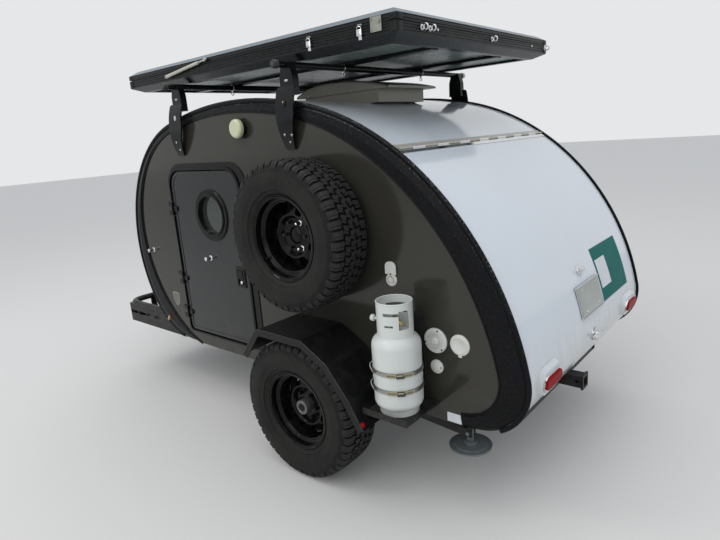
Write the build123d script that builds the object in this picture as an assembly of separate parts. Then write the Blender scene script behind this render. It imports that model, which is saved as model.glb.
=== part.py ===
from build123d import *
from math import acos, cos, degrees, hypot, radians, sin
import os

# A two-wheel teardrop camping trailer, in millimetres: X forward, Y to the left, Z up from the ground.
# Every x below is measured from the wheel axle. At export all pieces move by AXLE_X, which puts the
# origin under the middle of the trailer's length.
AXLE_X = -910.0

# Body width and wall thicknesses
WALL_Y = 787.0            # outer face of each side wall
WALL_T = 40.0             # side wall, as thick as the door
SHELL_Y = 774.0           # half width of the white roof, where the black edge band begins
SHELL_T = 40.0            # roof, nose and floor
HATCH_T = 34.0
HATCH_Y = SHELL_Y - 5.0
BAND_Y = 797.0            # outer face of the edge band
BAND_STEP = 13.0          # width of the low step between the edge band and the panel
# Strips that roll the edge band over at its rim. Columns: rise across the trailer, degrees of lean inward
BAND_ROLL = [(9.0, 25.0), (8.0, 58.0), (6.0, 79.0)]
SILL_Z = 410.0            # underside of the body

# Body outline seen from the side: arcs that run tangent into each other, forward and back from the
# roof's highest point. Columns: radius, degrees turned. The last arc has its own rule.
BODY_TOP = (548.0, 1899.0)
BODY_FRONT = [(2490.0, 14.9), (790.0, 106.5)]
BODY_REAR = [(2490.0, 12.9), (1446.0, 66.2)]

# Outline of the charcoal side panel inside the black band, in the same columns
PANEL_TOP = (606.0, 1843.0)
PANEL_FRONT = [(2364.0, 13.6), (664.0, 88.4)]
PANEL_FRONT_LOW_R = 797.0
PANEL_REAR = [(2364.0, 11.4), (1431.0, 66.6)]
PANEL_TAIL_Z = 477.0      # where the panel's rear corner turns down to the sill

# Hatch, as degrees round the body outline from the roof's top
SEAM = 35.1
HATCH_END = 122.5
SEAM_GAP = 0.12           # half of the slit at the hinge
END_GAP = 0.7             # half of the slit at the foot
HINGE_BARRELS = 15        # on the hatch hinge and on the tent's
LIGHT_Y, LIGHT_Z, POD_OUT = 583.0, 633.0, 14.0
PLATE_Y, PLATE_Z, HANDLE_Z = -16.0, 823.0, 638.0
PLATE_LAMP = (18.0, 958.0)

# Door and its frame on each side wall
DOOR = dict(x0=575.0, x1=1245.0, z0=505.0, z1=1542.0, r_top=100.0, r_low=30.0)
FRAME = dict(x0=500.0, x1=1262.0, z0=486.0, z1=1590.0, r_top=130.0, r_low=36.0)
DOOR_GAP = 7.0
FRAME_Y = 792.0
HINGE_X, HINGE_Y = 1256.0, 799.0
HINGE_R = 6.5
HINGE_ZS = (620.0, 853.0, 1310.0)
PORTHOLE = (856.0, 1281.0)
GLASS_R, RING_R = 123.0, 155.0
LAMP = (482.0, 1760.0)    # porch light
LATCH = (638.0, 925.0)
LEAF_RIM = 3.0            # how far the door leaf's edge trim stands out
CATCH_Z, CATCH_DOOR_X, CATCH_WALL_X = 1015.0, 925.0, 1592.0
CATCH_OUT = 42.0

# Chassis
RAIL_Y, RAIL_W, RAIL_H, TUBE_WALL = 520.0, 50.0, 76.0, 4.0
RAIL_X = (-950.0, 1250.0)
CROSS_X = (-925.0, -250.0, 420.0, 1225.0)
TONGUE_W, TONGUE_TIP = 76.0, 2880.0
COUPLER_TIP = 2960.0
BALL_X, BALL_R = 2922.0, 25.6
RECEIVER_Z, RECEIVER_OUT, RECEIVER_IN, RECEIVER_X = 370.0, 64.0, 51.4, -1076.0
PIN_HOLE_X, PIN_HOLE_R = -1040.0, 8.1

# Wheels: tyre, rim and hub share one local axis, w outward from the rim's middle
WHEEL_Z, WHEEL_Y = 362.0, 941.5
TYRE_R = 362.0
TREAD_SLOTS, SLOT_DEEP = 32, 9.0
LIP_R, LIP_W, SEAT_R, DROP_R = 207.0, 97.5, 190.0, 170.0
SPARE = (-15.0, 927.5, 1241.0)
NUT_PCD, NUTS = 139.7, 6
SPINDLE_R, BORE_R = 20.0, 20.05
ARM_PIVOT = (280.0, 300.0)

# Tongue jack and rear stabilisers
JACK = (2450.0, 82.0)
STAB_Y, STAB_PIVOT, STAB_BOLT = 690.0, (-330.0, 366.0), (-790.0, 330.0)
STAB_PAD_R = 98.0

# Roof rack and roof tent
BAR_X, BAR_Z, BAR_R, BAR_HALF = (88.0, 1035.0), 2029.0, 17.0, 878.0
FOOT_Y, PAD_X, PAD_Z = 780.0, (103.0, 1069.0), 1670.0
TENT_X, TENT_Y = (-545.0, 1600.0), 760.0
# Tent heights: underside of the flange, sides of the base, sides of the lid, top
TENT_Z = (2050.0, 2076.0, 2120.0, 2125.0, 2152.0, 2178.0)
TENT_WALL, TENT_FLOOR = 14.0, 2070.0
TENT_HINGE = (1605.0, 2122.5)
TENT_RAIL_Y, TENT_RAIL_Z = 330.0, 2046.0
STRUT_Y, STRUT_LOW, STRUT_HIGH = 776.0, (1140.0, 2098.0), (742.0, 2140.0)
STUD_R, EYE_R = 4.0, 4.05

# Front basket
BASKET_Y, BASKET_X, BASKET_RAIL_Z, BASKET_RAIL_R = 765.0, 2110.0, 560.0, 21.0
BASKET_FLOOR_Z = 410.0

# Propane bottle
BOTTLE = (-577.0, 930.0, 495.0)
BOTTLE_R, COLLAR_R = 108.0, 79.0


def block(x, y, z):
    """A box between two planes on each axis."""
    size = Box(x[1] - x[0], y[1] - y[0], z[1] - z[0])
    return Pos((x[0] + x[1]) / 2, (y[0] + y[1]) / 2, (z[0] + z[1]) / 2) * size


def rod_y(x, z, r, y0, y1):
    return Pos(x, (y0 + y1) / 2, z) * Rot(90, 0, 0) * Cylinder(r, y1 - y0)


def rod_z(x, y, r, z0, z1):
    return Pos(x, y, (z0 + z1) / 2) * Cylinder(r, z1 - z0)


def slab(face, y0, y1):
    """A side-view face, drawn as x and z, given its thickness across the trailer."""
    return Pos(0, y1, 0) * extrude(Plane.XZ * face, y1 - y0)


def both(left):
    return left + mirror(left, about=Plane.XZ)


def arc_table(top, front, rear, front_low_r=None, tail_z=SILL_Z):
    """Arcs as (centre x, centre z, radius, from, to), in signed degrees from the top, rear negative."""
    table = []
    for side, rows, foot in ((1, front, SILL_Z), (-1, rear, tail_z)):
        x, z, turned = top[0], top[1], 0.0
        low_r = front_low_r if side == 1 else None
        for r, turn in rows + [(low_r, None)]:
            t = radians(turned)
            if turn is None:
                r = r or (z - foot) / (1 + cos(t))
                centre_z = z - r * cos(t)
                turn = degrees(acos(max(-1.0, (foot - centre_z) / r))) - turned
            cx, cz = x - side * r * sin(t), z - r * cos(t)
            table.append((cx, cz, r, side * turned, side * (turned + turn)))
            turned += turn
            x, z = cx + side * r * sin(radians(turned)), cz + r * cos(radians(turned))
    return table


def arcs(table, start, stop, inset=0.0):
    """The outline's arcs between two angles, in order, moved inward by the inset."""
    rows = sorted((min(a, b), max(a, b), cx, cz, r) for cx, cz, r, a, b in table)
    out = []
    for a, b, cx, cz, r in rows:
        a, b = max(a, start), min(b, stop)
        if b - a > 1e-6:
            out.append(CenterArc((cx, cz), r - inset, 90 - a, a - b))
    return out


def closed(edges, corners=()):
    """A face from a run of edges and the corner points that lead back to its start."""
    points = [edges[-1] @ 1, *corners, edges[0] @ 0]
    lines = [Line(p, q) for p, q in zip(points, points[1:])]
    return make_face([*edges, *lines])


def ring(table, start, stop, outer, inner):
    """A strip of the body shell between two angles and two insets."""
    out, back = arcs(table, start, stop, outer), arcs(table, start, stop, inner)
    ends = [Line(out[-1] @ 1, back[-1] @ 1), Line(back[0] @ 0, out[0] @ 0)]
    return make_face([*out, *back, *ends])


def outline_point(angle, out=0.0):
    for cx, cz, r, a, b in BODY:
        if min(a, b) - 1e-6 <= angle <= max(a, b) + 1e-6:
            t = radians(angle)
            return cx + (r + out) * sin(t), cz + (r + out) * cos(t)


BODY = arc_table(BODY_TOP, BODY_FRONT, BODY_REAR)
PANEL = arc_table(PANEL_TOP, PANEL_FRONT, PANEL_REAR, PANEL_FRONT_LOW_R, PANEL_TAIL_Z)


def body_face(inset=0.0):
    return closed(arcs(BODY, -180, 180, inset))


def panel_face(grow=0.0):
    edges = arcs(PANEL, -180, 180, -grow)
    tail_x = (edges[0] @ 0).X
    front = [((edges[-1] @ 1).X, SILL_Z)] if grow else []
    return closed(edges, [*front, (tail_x, SILL_Z)])


def door_outline(x0, x1, z0, z1, r_top, r_low, grow=0.0):
    """A rounded rectangle with larger corners at the top, grown evenly on all sides."""
    x0, x1, z0, z1 = x0 - grow, x1 + grow, z0 - grow, z1 + grow
    radii = [r_low + grow, r_low + grow, r_top + grow, r_top + grow]
    line = FilletPolyline((x0, z0), (x1, z0), (x1, z1), (x0, z1), radius=radii, close=True)
    return make_face(line)


# Body shell


def roof_shell():
    return slab(ring(BODY, -SEAM + SEAM_GAP, 180, 0, SHELL_T), -SHELL_Y, SHELL_Y)


def floor_pan():
    out = arcs(BODY, -180, -HATCH_END - END_GAP, 0)
    back = arcs(BODY, -180, -HATCH_END - END_GAP, SHELL_T)
    front_x = outline_point(180)[0]
    corners = [out[0] @ 0, (front_x, SILL_Z), (front_x, SILL_Z + SHELL_T), back[0] @ 0]
    lines = [Line(p, q) for p, q in zip(corners, corners[1:])]
    face = make_face([*out, *back, *lines, Line(out[-1] @ 1, back[-1] @ 1)])
    return slab(face, -SHELL_Y, SHELL_Y)


def hatch_shell():
    """The hatch, with a raised pod moulded under each tail light."""
    shell = slab(ring(BODY, -HATCH_END + END_GAP, -SEAM - SEAM_GAP, 0, HATCH_T), -HATCH_Y, HATCH_Y)
    pod = extrude(Pos(0, LIGHT_Y, -8) * Rot(0, 0, 90) * SlotOverall(236, 132), POD_OUT + 8, taper=30)
    inside = slab(body_face(HATCH_T), -SHELL_Y, SHELL_Y)
    return shell + (both(on_hatch(LIGHT_Z, pod)) - inside)


def side_panel():
    inner = slab(body_face(SHELL_T), WALL_Y - WALL_T, SHELL_Y)
    outer = slab(panel_face(), SHELL_Y, WALL_Y)
    opening = slab(door_outline(**FRAME), WALL_Y - WALL_T - 1, WALL_Y + 1)
    return inner + outer - opening


def edge_band():
    """The black band round each wall: it rolls over outside and steps down to the panel inside."""
    step = body_face() & panel_face(BAND_STEP)
    top = Pos(0, SHELL_Y, 0) * (Plane.XZ * body_face())
    band = None
    for rise, lean in BAND_ROLL:
        strip = extrude(top, rise, dir=(0, 1, 0), taper=lean)
        top = strip.faces().sort_by(Axis.Y)[-1]
        band = strip if band is None else band + strip
    return band - slab(step, SHELL_Y - 1, BAND_Y + 1) + slab(step - panel_face(), SHELL_Y, FRAME_Y)


def barrels(x, z, r, half, count, first):
    """Every second barrel of a hinge that runs across the trailer, and the spans they fill."""
    pitch = 2 * half / count
    spans = [(-half + pitch * i + 0.8, -half + pitch * (i + 1) - 0.8) for i in range(first, count, 2)]
    out = None
    for y0, y1 in spans:
        out = rod_y(x, z, r, y0, y1) if out is None else out + rod_y(x, z, r, y0, y1)
    return out, spans


def hatch_hinge_axis():
    return outline_point(-SEAM, 7.0)


def hatch_hinge(side=1):
    """One half of the hatch hinge, on the roof (+1) or on the hatch (-1): leaf, webs and barrels."""
    half = HATCH_Y - 6
    x, z = hatch_hinge_axis()
    out, spans = barrels(x, z, 5.0, half, HINGE_BARRELS, (1 - side) // 2)
    parts = [block((side * 19 - 12.5, side * 19 + 12.5), (-half, half), (-7, -3))]
    for y0, y1 in spans:
        parts.append(block((min(0, side * 9), max(0, side * 9)), (y0, y1), (-7, -1)))
    return out + [Pos(x, 0, z) * Rot(0, -SEAM, 0) * piece for piece in parts]


# Drawer and door fronts of the galley. Columns: y from, y to, z from, z to
GALLEY_FRONTS = [(-712, -245, 585, 858), (-237, 237, 585, 715), (-237, 237, 723, 858), (245, 712, 585, 858)]


def bulkhead_and_galley():
    inside = slab(body_face(SHELL_T), -WALL_Y + WALL_T, WALL_Y - WALL_T)
    wall = block((-430, -410), (-760, 760), (430, 1900)) & inside
    width = (-735, 735)
    cabinet = block((-860, -430), width, (SILL_Z + SHELL_T, 600)) + block((-975, -430), width, (560, 880))
    cabinet -= block((-842, -430), (-717, 717), (SILL_Z, 600)) + block((-957, -430), (-717, 717), (578, 881))
    counter = block((-985, -430), (-745, 745), (880, 905))
    shelf = block((-650, -430), width, (1180, 1400)) - block((-651, -450), (-717, 717), (1198, 1382))
    fronts = None
    for y0, y1, z0, z1 in GALLEY_FRONTS:
        middle = (y0 + y1) / 2
        front = block((-981, -975), (y0, y1), (z0, z1))
        front -= block((-982, -974), (middle - 45, middle + 45), (z1 - 34, z1 - 14))
        fronts = front if fronts is None else fronts + front
    return wall + cabinet + counter + shelf + fronts


def mattress():
    inside = slab(body_face(SHELL_T + 0.3), -735, 735)
    return block((-409.5, 1540), (-735, 735), (440, 590)) & inside


# Doors and wall fittings


def door_frame():
    """A flanged frame with a raised bead round the opening, broken where the hinges sit."""
    hole = door_outline(**DOOR, grow=DOOR_GAP)
    bead = slab(door_outline(**DOOR, grow=DOOR_GAP + 16) - hole, FRAME_Y, FRAME_Y + 7) & slab(
        door_outline(**FRAME, grow=-3), FRAME_Y, FRAME_Y + 7)
    for z in HINGE_ZS:
        bead -= block((DOOR["x1"], HINGE_X + 60), (FRAME_Y, FRAME_Y + 8), (z - 48, z + 48))
    return slab(door_outline(**FRAME) - hole, WALL_Y - WALL_T, FRAME_Y) + bead


def door_leaf():
    leaf = slab(door_outline(**DOOR), WALL_Y - WALL_T, WALL_Y)
    leaf += slab(door_outline(**DOOR) - door_outline(**DOOR, grow=-20), WALL_Y, WALL_Y + LEAF_RIM)
    return leaf - rod_y(*PORTHOLE, GLASS_R, WALL_Y - WALL_T - 1, WALL_Y + 1)


def window_ring():
    rim = rod_y(*PORTHOLE, RING_R, WALL_Y, FRAME_Y + 4) - rod_y(*PORTHOLE, GLASS_R - 6, 700, 820)
    rim = chamfer(rim.edges().group_by(Axis.Y)[-1].sort_by(SortBy.RADIUS)[-1], 5)
    sleeve = rod_y(*PORTHOLE, GLASS_R, WALL_Y - WALL_T, WALL_Y) - rod_y(*PORTHOLE, GLASS_R - 6, 700, 820)
    lip = rod_y(*PORTHOLE, GLASS_R + 6, FRAME_Y + 4, FRAME_Y + 9) - rod_y(*PORTHOLE, GLASS_R - 6, 700, 820)
    return rim + sleeve + lip


def window_glass():
    return rod_y(*PORTHOLE, GLASS_R - 6, 764, 770)


def door_hardware():
    x, z = LATCH
    plate = block((x - 40, x + 40), (WALL_Y, WALL_Y + 11), (z - 61, z + 61))
    plate = chamfer(plate.edges().group_by(Axis.Y)[-1], 4)
    plate -= block((x - 26, x + 26), (WALL_Y + 4, WALL_Y + 12), (z - 42, z + 42))
    paddle = block((x - 22, x + 22), (WALL_Y + 3, WALL_Y + 13), (z - 10, z + 39))
    catch = rod_y(CATCH_DOOR_X, CATCH_Z, 9, WALL_Y, WALL_Y + CATCH_OUT)
    out = plate + paddle + catch
    for hinge_z in HINGE_ZS:
        knuckle = rod_z(HINGE_X, HINGE_Y, HINGE_R, hinge_z - 15, hinge_z + 15)
        span = (hinge_z - 15, hinge_z + 15)
        leaf = block((HINGE_X - 46, DOOR["x1"]), (WALL_Y + LEAF_RIM, WALL_Y + 9), span)
        bridge = block((DOOR["x1"] - 8, HINGE_X), (FRAME_Y + 1, WALL_Y + 9), span)
        out += knuckle + leaf + bridge
    return out


def wall_hinges():
    """The fixed halves of the door hinges and of the hold-back catch."""
    out = rod_y(CATCH_WALL_X, CATCH_Z, 9, WALL_Y, WALL_Y + CATCH_OUT)
    for hinge_z in HINGE_ZS:
        for low, high in ((hinge_z - 42, hinge_z - 16.5), (hinge_z + 16.5, hinge_z + 42)):
            knuckle = rod_z(HINGE_X, HINGE_Y, HINGE_R, low, high)
            out += knuckle + block((HINGE_X, HINGE_X + 46), (FRAME_Y, FRAME_Y + 5), (low, high))
            out += block((HINGE_X + 8, HINGE_X + 46), (WALL_Y, FRAME_Y), (low, high))
    return out


def lamp_base():
    return rod_y(*LAMP, 44, WALL_Y, WALL_Y + 20)


def wall_fittings():
    return both(lamp_base() + wall_hinges())


def porch_lights():
    dome = rod_y(*LAMP, 50, WALL_Y + 20, WALL_Y + 50)
    return both(fillet(dome.edges().group_by(Axis.Y)[-1], 16))


# White ports on the left wall. Columns: x, z, radius, height off the wall, radius of the dished middle
PORTS = [(-464, 1038, 30, 9, 21), (-687, 789, 57, 11, 38), (-807, 790, 47, 9, 0), (-689, 667, 32, 10, 0)]


def wall_ports():
    out = None
    for x, z, r, h, dish in PORTS:
        port = rod_y(x, z, r, WALL_Y, WALL_Y + h)
        port = chamfer(port.edges().group_by(Axis.Y)[-1], 4)
        if dish:
            port -= rod_y(x, z, dish, WALL_Y + 3, WALL_Y + h + 1)
            port += rod_y(x, z, dish * 0.55, WALL_Y, WALL_Y + h)
        out = port if out is None else out + port
    x, z = PORTS[0][:2]
    flap = block((x - 30, x + 30), (WALL_Y + 4, WALL_Y + 9), (z + 27, z + 86))
    flap = fillet(flap.edges().filter_by(Axis.Y).group_by(Axis.Z)[-1], 26)
    return out + flap


def fender():
    """A folded sheet over the tyre, with a lip turned down along its outer edge."""
    path = [(316, 622), (192, 778), (-132, 775), (-283, 690), (-402, 545), (-478, 420)]
    y_out, thick, lip = 1080.0, 5.0, 34.0

    def below(depth):
        """The path moved toward the wheel by a depth, as corner points."""
        moved = []
        for i, (x, z) in enumerate(path):
            normals = []
            for (ax, az), (bx, bz) in zip(path[max(i - 1, 0):i + 1], path[max(i, 1):i + 2]):
                size = hypot(bx - ax, bz - az)
                normals.append(((bz - az) / size, (ax - bx) / size))
            nx = sum(n[0] for n in normals) / len(normals)
            nz = sum(n[1] for n in normals) / len(normals)
            scale = depth / (nx * nx + nz * nz)
            moved.append((x - nx * scale, z - nz * scale))
        return moved

    def sheet(depth):
        outer = FilletPolyline(*path, radius=60)
        inner = FilletPolyline(*below(depth), radius=60 - depth)
        ends = [Line(outer @ 0, inner @ 0), Line(outer @ 1, inner @ 1)]
        return make_face([*outer.edges(), *inner.edges(), *ends])

    return slab(sheet(thick), WALL_Y, y_out) + slab(sheet(lip), y_out - thick, y_out)


# Chassis


def tube_x(x, y, z, width, height, wall=TUBE_WALL):
    outer = block(x, (y - width / 2, y + width / 2), (z - height / 2, z + height / 2))
    hole = block((x[0] - 1, x[1] + 1), (y - width / 2 + wall, y + width / 2 - wall),
                 (z - height / 2 + wall, z + height / 2 - wall))
    return outer - hole


RAIL_Z = SILL_Z - RAIL_H / 2


def frame_rails():
    rail = tube_x(RAIL_X, RAIL_Y, RAIL_Z, RAIL_W, RAIL_H)
    lug = block((ARM_PIVOT[0] - 45, ARM_PIVOT[0] + 45), (RAIL_Y - 25, RAIL_Y + 25),
                (ARM_PIVOT[1] - 28, SILL_Z - RAIL_H))
    stop = block((50, 130), (RAIL_Y + 25, 612), (396, SILL_Z))
    return both(rail + lug + stop)


def crossmembers():
    out = None
    half = RAIL_Y - RAIL_W / 2
    for x in CROSS_X:
        bar = block((x - 25, x + 25), (-half, half), (SILL_Z - RAIL_H, SILL_Z))
        bar -= block((x - 21, x + 21), (-half - 1, half + 1), (SILL_Z - RAIL_H + 4, SILL_Z - 4))
        out = bar if out is None else out + bar
    x, z = STAB_PIVOT
    hanger = block((x - 40, x + 50), (STAB_Y - 45, STAB_Y - 28), (z - 22, SILL_Z))
    hanger += block((x - 40, x + 50), (STAB_Y + 28, STAB_Y + 45), (z - 22, SILL_Z))
    hanger += block((x - 40, x + 50), (STAB_Y - 45, STAB_Y + 45), (SILL_Z - 8, SILL_Z))
    hanger += rod_y(x, z, 8, STAB_Y - 45, STAB_Y + 45)
    return out + both(hanger)


def tongue_tube():
    return tube_x((CROSS_X[-1] + 25, TONGUE_TIP), 0, RAIL_Z, TONGUE_W, RAIL_H)


def tongue_braces():
    """Braces from the rails' front ends in to the tongue."""
    start, stop = (RAIL_X[1], RAIL_Y), (2060.0, TONGUE_W / 2 + 19)
    length = hypot(stop[0] - start[0], stop[1] - start[1])
    direction = Vector(stop[0] - start[0], stop[1] - start[1], 0)
    plane = Plane(origin=(*start, RAIL_Z), x_dir=direction.cross(Vector(0, 0, 1)), z_dir=direction)
    profile = Rectangle(RAIL_W, RAIL_H) - Rectangle(RAIL_W - 8, RAIL_H - 8)
    brace = extrude(plane * profile, length + 60)
    keep = block((RAIL_X[1], 2200), (TONGUE_W / 2, 700), (300, 500))
    return both(brace & keep)


def coupler():
    """A shoe over the tongue's end, a neck, the cup for the ball and the latch lever on top."""
    half, low, top = TONGUE_W / 2, 398, 446
    shoe = block((2740, TONGUE_TIP), (-half - 6, half + 6), (352, SILL_Z + 6))
    shoe -= block((2739, TONGUE_TIP + 1), (-half, half), (351, SILL_Z))
    side = [(2850, SILL_Z + 1), (TONGUE_TIP, SILL_Z + 1), (TONGUE_TIP, low), (BALL_X, low), (BALL_X, top),
            (2880, top), (2850, SILL_Z + 6)]
    neck = slab(make_face(Polyline(*side, close=True)), -33, 33)
    cup = rod_z(BALL_X, 0, COUPLER_TIP - BALL_X, low, top)
    lever = block((2830, 2940), (-10, 10), (top, top + 12))
    lever += block((2830, 2844), (-10, 10), (SILL_Z + 5, top + 1))
    return shoe + neck + cup + lever - rod_z(BALL_X, 0, BALL_R, low - 8, low + 36)


def jack_tube():
    x, y = JACK
    shell = rod_z(x, y, 28.5, 300, 805) - rod_z(x, y, 24.05, 299, 800)
    head = rod_z(x, y, 34, 805, 860)
    crank = rod_y(x, 832, 8, y, y + 75) + rod_z(x, y + 70, 7, 740, 836) + rod_y(x, 745, 9, y + 70, y + 150)
    clamp = block((x - 40, x + 40), (TONGUE_W / 2, y - 20), (SILL_Z - RAIL_H, SILL_Z + 30))
    clamp -= rod_z(x, y, 26, 290, 500)
    return shell + head + crank + clamp


def jack_leg():
    x, y = JACK
    return rod_z(x, y, 24, 12, 540) + rod_z(x, y, 78, 0, 12) + rod_z(x, y, 34, 12, 30)


def receiver_tube():
    half, hole = RECEIVER_OUT / 2, RECEIVER_IN / 2
    x = (RECEIVER_X, CROSS_X[0] - 25)
    tube = block(x, (-half, half), (RECEIVER_Z - half, RECEIVER_Z + half))
    tube += block((x[0], x[0] + 12), (-half - 6, half + 6), (RECEIVER_Z - half - 6, RECEIVER_Z + half + 6))
    tube -= block((x[0] - 1, x[1] + 1), (-hole, hole), (RECEIVER_Z - hole, RECEIVER_Z + hole))
    return tube - rod_y(PIN_HOLE_X, RECEIVER_Z, PIN_HOLE_R, -50, 50)


def swing_arms():
    """Trailing arms, each with its pivot pin, spindle and rubber block."""
    (px, pz), z = ARM_PIVOT, WHEEL_Z
    reach = hypot(px, z - pz)
    beam = Pos(px / 2, 585, (pz + z) / 2) * Rot(0, degrees(acos(px / reach)), 0) * Box(reach + 20, 44, 52)
    pin = rod_y(px, pz, 14, RAIL_Y + 25, 607)
    spindle = rod_y(0, z, SPINDLE_R, 607, 958) + rod_y(0, z, 36, 607, 640)
    knuckle = rod_y(0, z, 42, 563, 607)
    block_z = pz + (px - 90) / px * (z - pz) + 26
    rubber = rod_z(90, 585, 26, block_z - 8, 396)
    return both(beam + pin + spindle + knuckle + rubber)


# Wheels


def to_wheel(solid, x, y, z):
    """A solid made about local Z, with w outward, set on its wheel axis."""
    return Pos(x, y, z) * Rot(-90, 0, 0) * solid


def spun(points):
    """A solid of revolution from (w, r) points."""
    return revolve(Plane.XZ * make_face(Polyline(*[(r, w) for w, r in points], close=True)), Axis.Z)


def tyre():
    """A hollow carcass. Two grooves run round its tread, and slots across it part the blocks."""
    outer = [(76, SEAT_R), (88.5, SEAT_R), (88.5, LIP_R + 1), (118, 274), (110, 346), (98, TYRE_R),
             (62, TYRE_R), (58, 353), (54, TYRE_R)]
    inner = [(79, 212), (104, 272), (94, 338)]
    other = [(-w, r) for w, r in reversed(outer)]
    carcass = spun(outer + other + [(-w, r) for w, r in inner] + inner[::-1])
    slots = []
    for i in range(TREAD_SLOTS):
        turn = 360 / TREAD_SLOTS * (i + 0.5)
        for side in (1, -1):
            across = Pos(TYRE_R - SLOT_DEEP / 2 + 4, 0, side * 92) * Box(SLOT_DEEP + 8, 8, 64)
            slots.append(Rot(0, 0, turn + side * 90 / TREAD_SLOTS) * across)
            slant = Rot(side * 24, 0, 0) * Box(SLOT_DEEP + 8, 6, 56)
            slant = Pos(TYRE_R - SLOT_DEEP / 2 + 4, 0, side * 29) * slant
            slots.append(Rot(0, 0, turn - side * 90 / TREAD_SLOTS) * slant)
    return carcass - slots


def rim():
    barrel = spun([(LIP_W, LIP_R), (89, LIP_R), (89, SEAT_R), (62, SEAT_R), (48, DROP_R), (-35, DROP_R),
                   (-50, SEAT_R), (-89, SEAT_R), (-89, LIP_R), (-LIP_W, LIP_R), (-LIP_W, 200), (-92, 185),
                   (-52, 185), (-38, 165), (46, 165), (51, 165.5), (55, 172), (58, 174.5), (63, 184),
                   (82, 185), (86, 186.5), (92, 188), (94.5, 197), (LIP_W, 200)])
    disc = spun([(3, 43), (3, 84), (22, 98), (24, 108), (4, 160), (-14, 166), (-22, 166), (-22, 161),
                 (-4, 154), (16, 104), (14, 99), (-3, 86), (-3, 43)])
    for i in range(8):
        shape = FilletPolyline((107, -15), (151, -33), (151, 33), (107, 15), radius=11, close=True)
        disc -= Rot(0, 0, 22.5 + 45 * i) * extrude(make_face(shape), 80, both=True)
    return barrel + disc


def hub():
    drum = Pos(0, 0, -43) * Cylinder(130, 64)
    flange = Pos(0, 0, -7) * Cylinder(85, 8)
    cap = Pos(0, 0, 24) * Cylinder(38, 56)
    out = drum + flange + cap
    for i in range(NUTS):
        out += Rot(0, 0, 360 / NUTS * i) * Pos(NUT_PCD / 2, 0, 12) * Cylinder(8, 18)
    return out - Pos(0, 0, -27.5) * Cylinder(BORE_R, 97)


def spare_carrier():
    x, y, z = SPARE
    plate = block((x - 110, x + 110), (WALL_Y, WALL_Y + 8), (z - 110, z + 110))
    post = rod_y(x, z, 48, WALL_Y + 8, y - 13)
    disc = rod_y(x, z, 86, y - 13, y - 3)
    out = plate + post + disc
    for i in range(NUTS):
        a = radians(360 / NUTS * i)
        out += rod_y(x + NUT_PCD / 2 * cos(a), z + NUT_PCD / 2 * sin(a), 8, y + 3, y + 20)
    return out


# Rear stabilisers, both sides built on the left


def stabiliser_leg():
    (px, pz), (bx, bz) = STAB_PIVOT, STAB_BOLT
    leg = block((bx - 18, px + 22), (STAB_Y - 21, STAB_Y + 21), (-19, 19))
    tilt = degrees(acos((px - bx) / hypot(px - bx, pz - bz)))
    beam = Pos(px, STAB_Y, pz) * Rot(0, -tilt, 0) * Pos(-px, -STAB_Y, 0) * leg
    beam -= rod_y(px, pz, 8.1, 600, 800)
    slot = block((bx - 60, bx + 45), (STAB_Y - 12, STAB_Y + 12), (bz - 60, bz + 60))
    return beam - slot - rod_y(bx, bz, 8.1, 600, 800)


def stabiliser_foot():
    bx, bz = STAB_BOLT
    pad = rod_z(bx, STAB_Y, STAB_PAD_R, bz - 70, bz - 62)
    pad += rod_z(bx, STAB_Y, STAB_PAD_R - 22, bz - 62, bz - 54)
    neck = rod_z(bx, STAB_Y, 30, bz - 58, bz - 42)
    fork = block((bx - 14, bx + 14), (STAB_Y - 7, STAB_Y + 7), (bz - 42, bz + 14))
    bolt = rod_y(bx, bz, 8, STAB_Y - 30, STAB_Y + 30)
    return pad + neck + fork + bolt


# Roof rack and tent


def roof_bars():
    out = None
    for x in BAR_X:
        bar = rod_y(x, BAR_Z, BAR_R - 1.5, -BAR_HALF, BAR_HALF)
        bar += both(rod_y(x, BAR_Z, BAR_R, BAR_HALF - 26, BAR_HALF))
        bar += rod_y(x, BAR_Z, BAR_R, -TENT_RAIL_Y - 40, TENT_RAIL_Y + 40)
        out = bar if out is None else out + bar
    return out


def roof_feet():
    """Bowed blades up the wall, each with a pad at its foot and a head that clamps the bar."""
    bow = [ThreePointArc((796, 1634), (834, 1775), (806, 1932)),
           ThreePointArc((788, 1634), (825, 1775), (798, 1932))]
    ends = [Line(bow[0] @ 0, bow[1] @ 0), Line(bow[0] @ 1, bow[1] @ 1)]
    section = make_face([*bow, *ends])
    out = None
    for x, pad_x in zip(BAR_X, PAD_X):
        sheet = Pos(x - 100, 0, 0) * extrude(Plane.YZ * section, 240)
        outline = FilletPolyline((pad_x - 30, 1636), (pad_x + 30, 1636), (x + 62, 1800), (x + 62, 1931),
                                 (x - 62, 1931), (x - 62, 1800), radius=12, close=True)
        blade = sheet & slab(make_face(outline), 700, 900)
        blade -= rod_y(x, 1852, 15, 700, 900)
        pad = block((pad_x - 26, pad_x + 26), (WALL_Y, 797), (PAD_Z - 30, PAD_Z + 18))
        head_side = [(x - 46, 1890), (x + 46, 1890), (x + 44, 1978), (x + 26, BAR_Z + 8), (x - 26, BAR_Z + 8),
                     (x - 44, 1978)]
        head = slab(make_face(Polyline(*head_side, close=True)), FOOT_Y - 20, 800)
        foot = blade + pad + head - rod_y(x, BAR_Z, BAR_R - 1.5, 0, 900)
        out = foot if out is None else out + foot
    return both(out)


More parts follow.
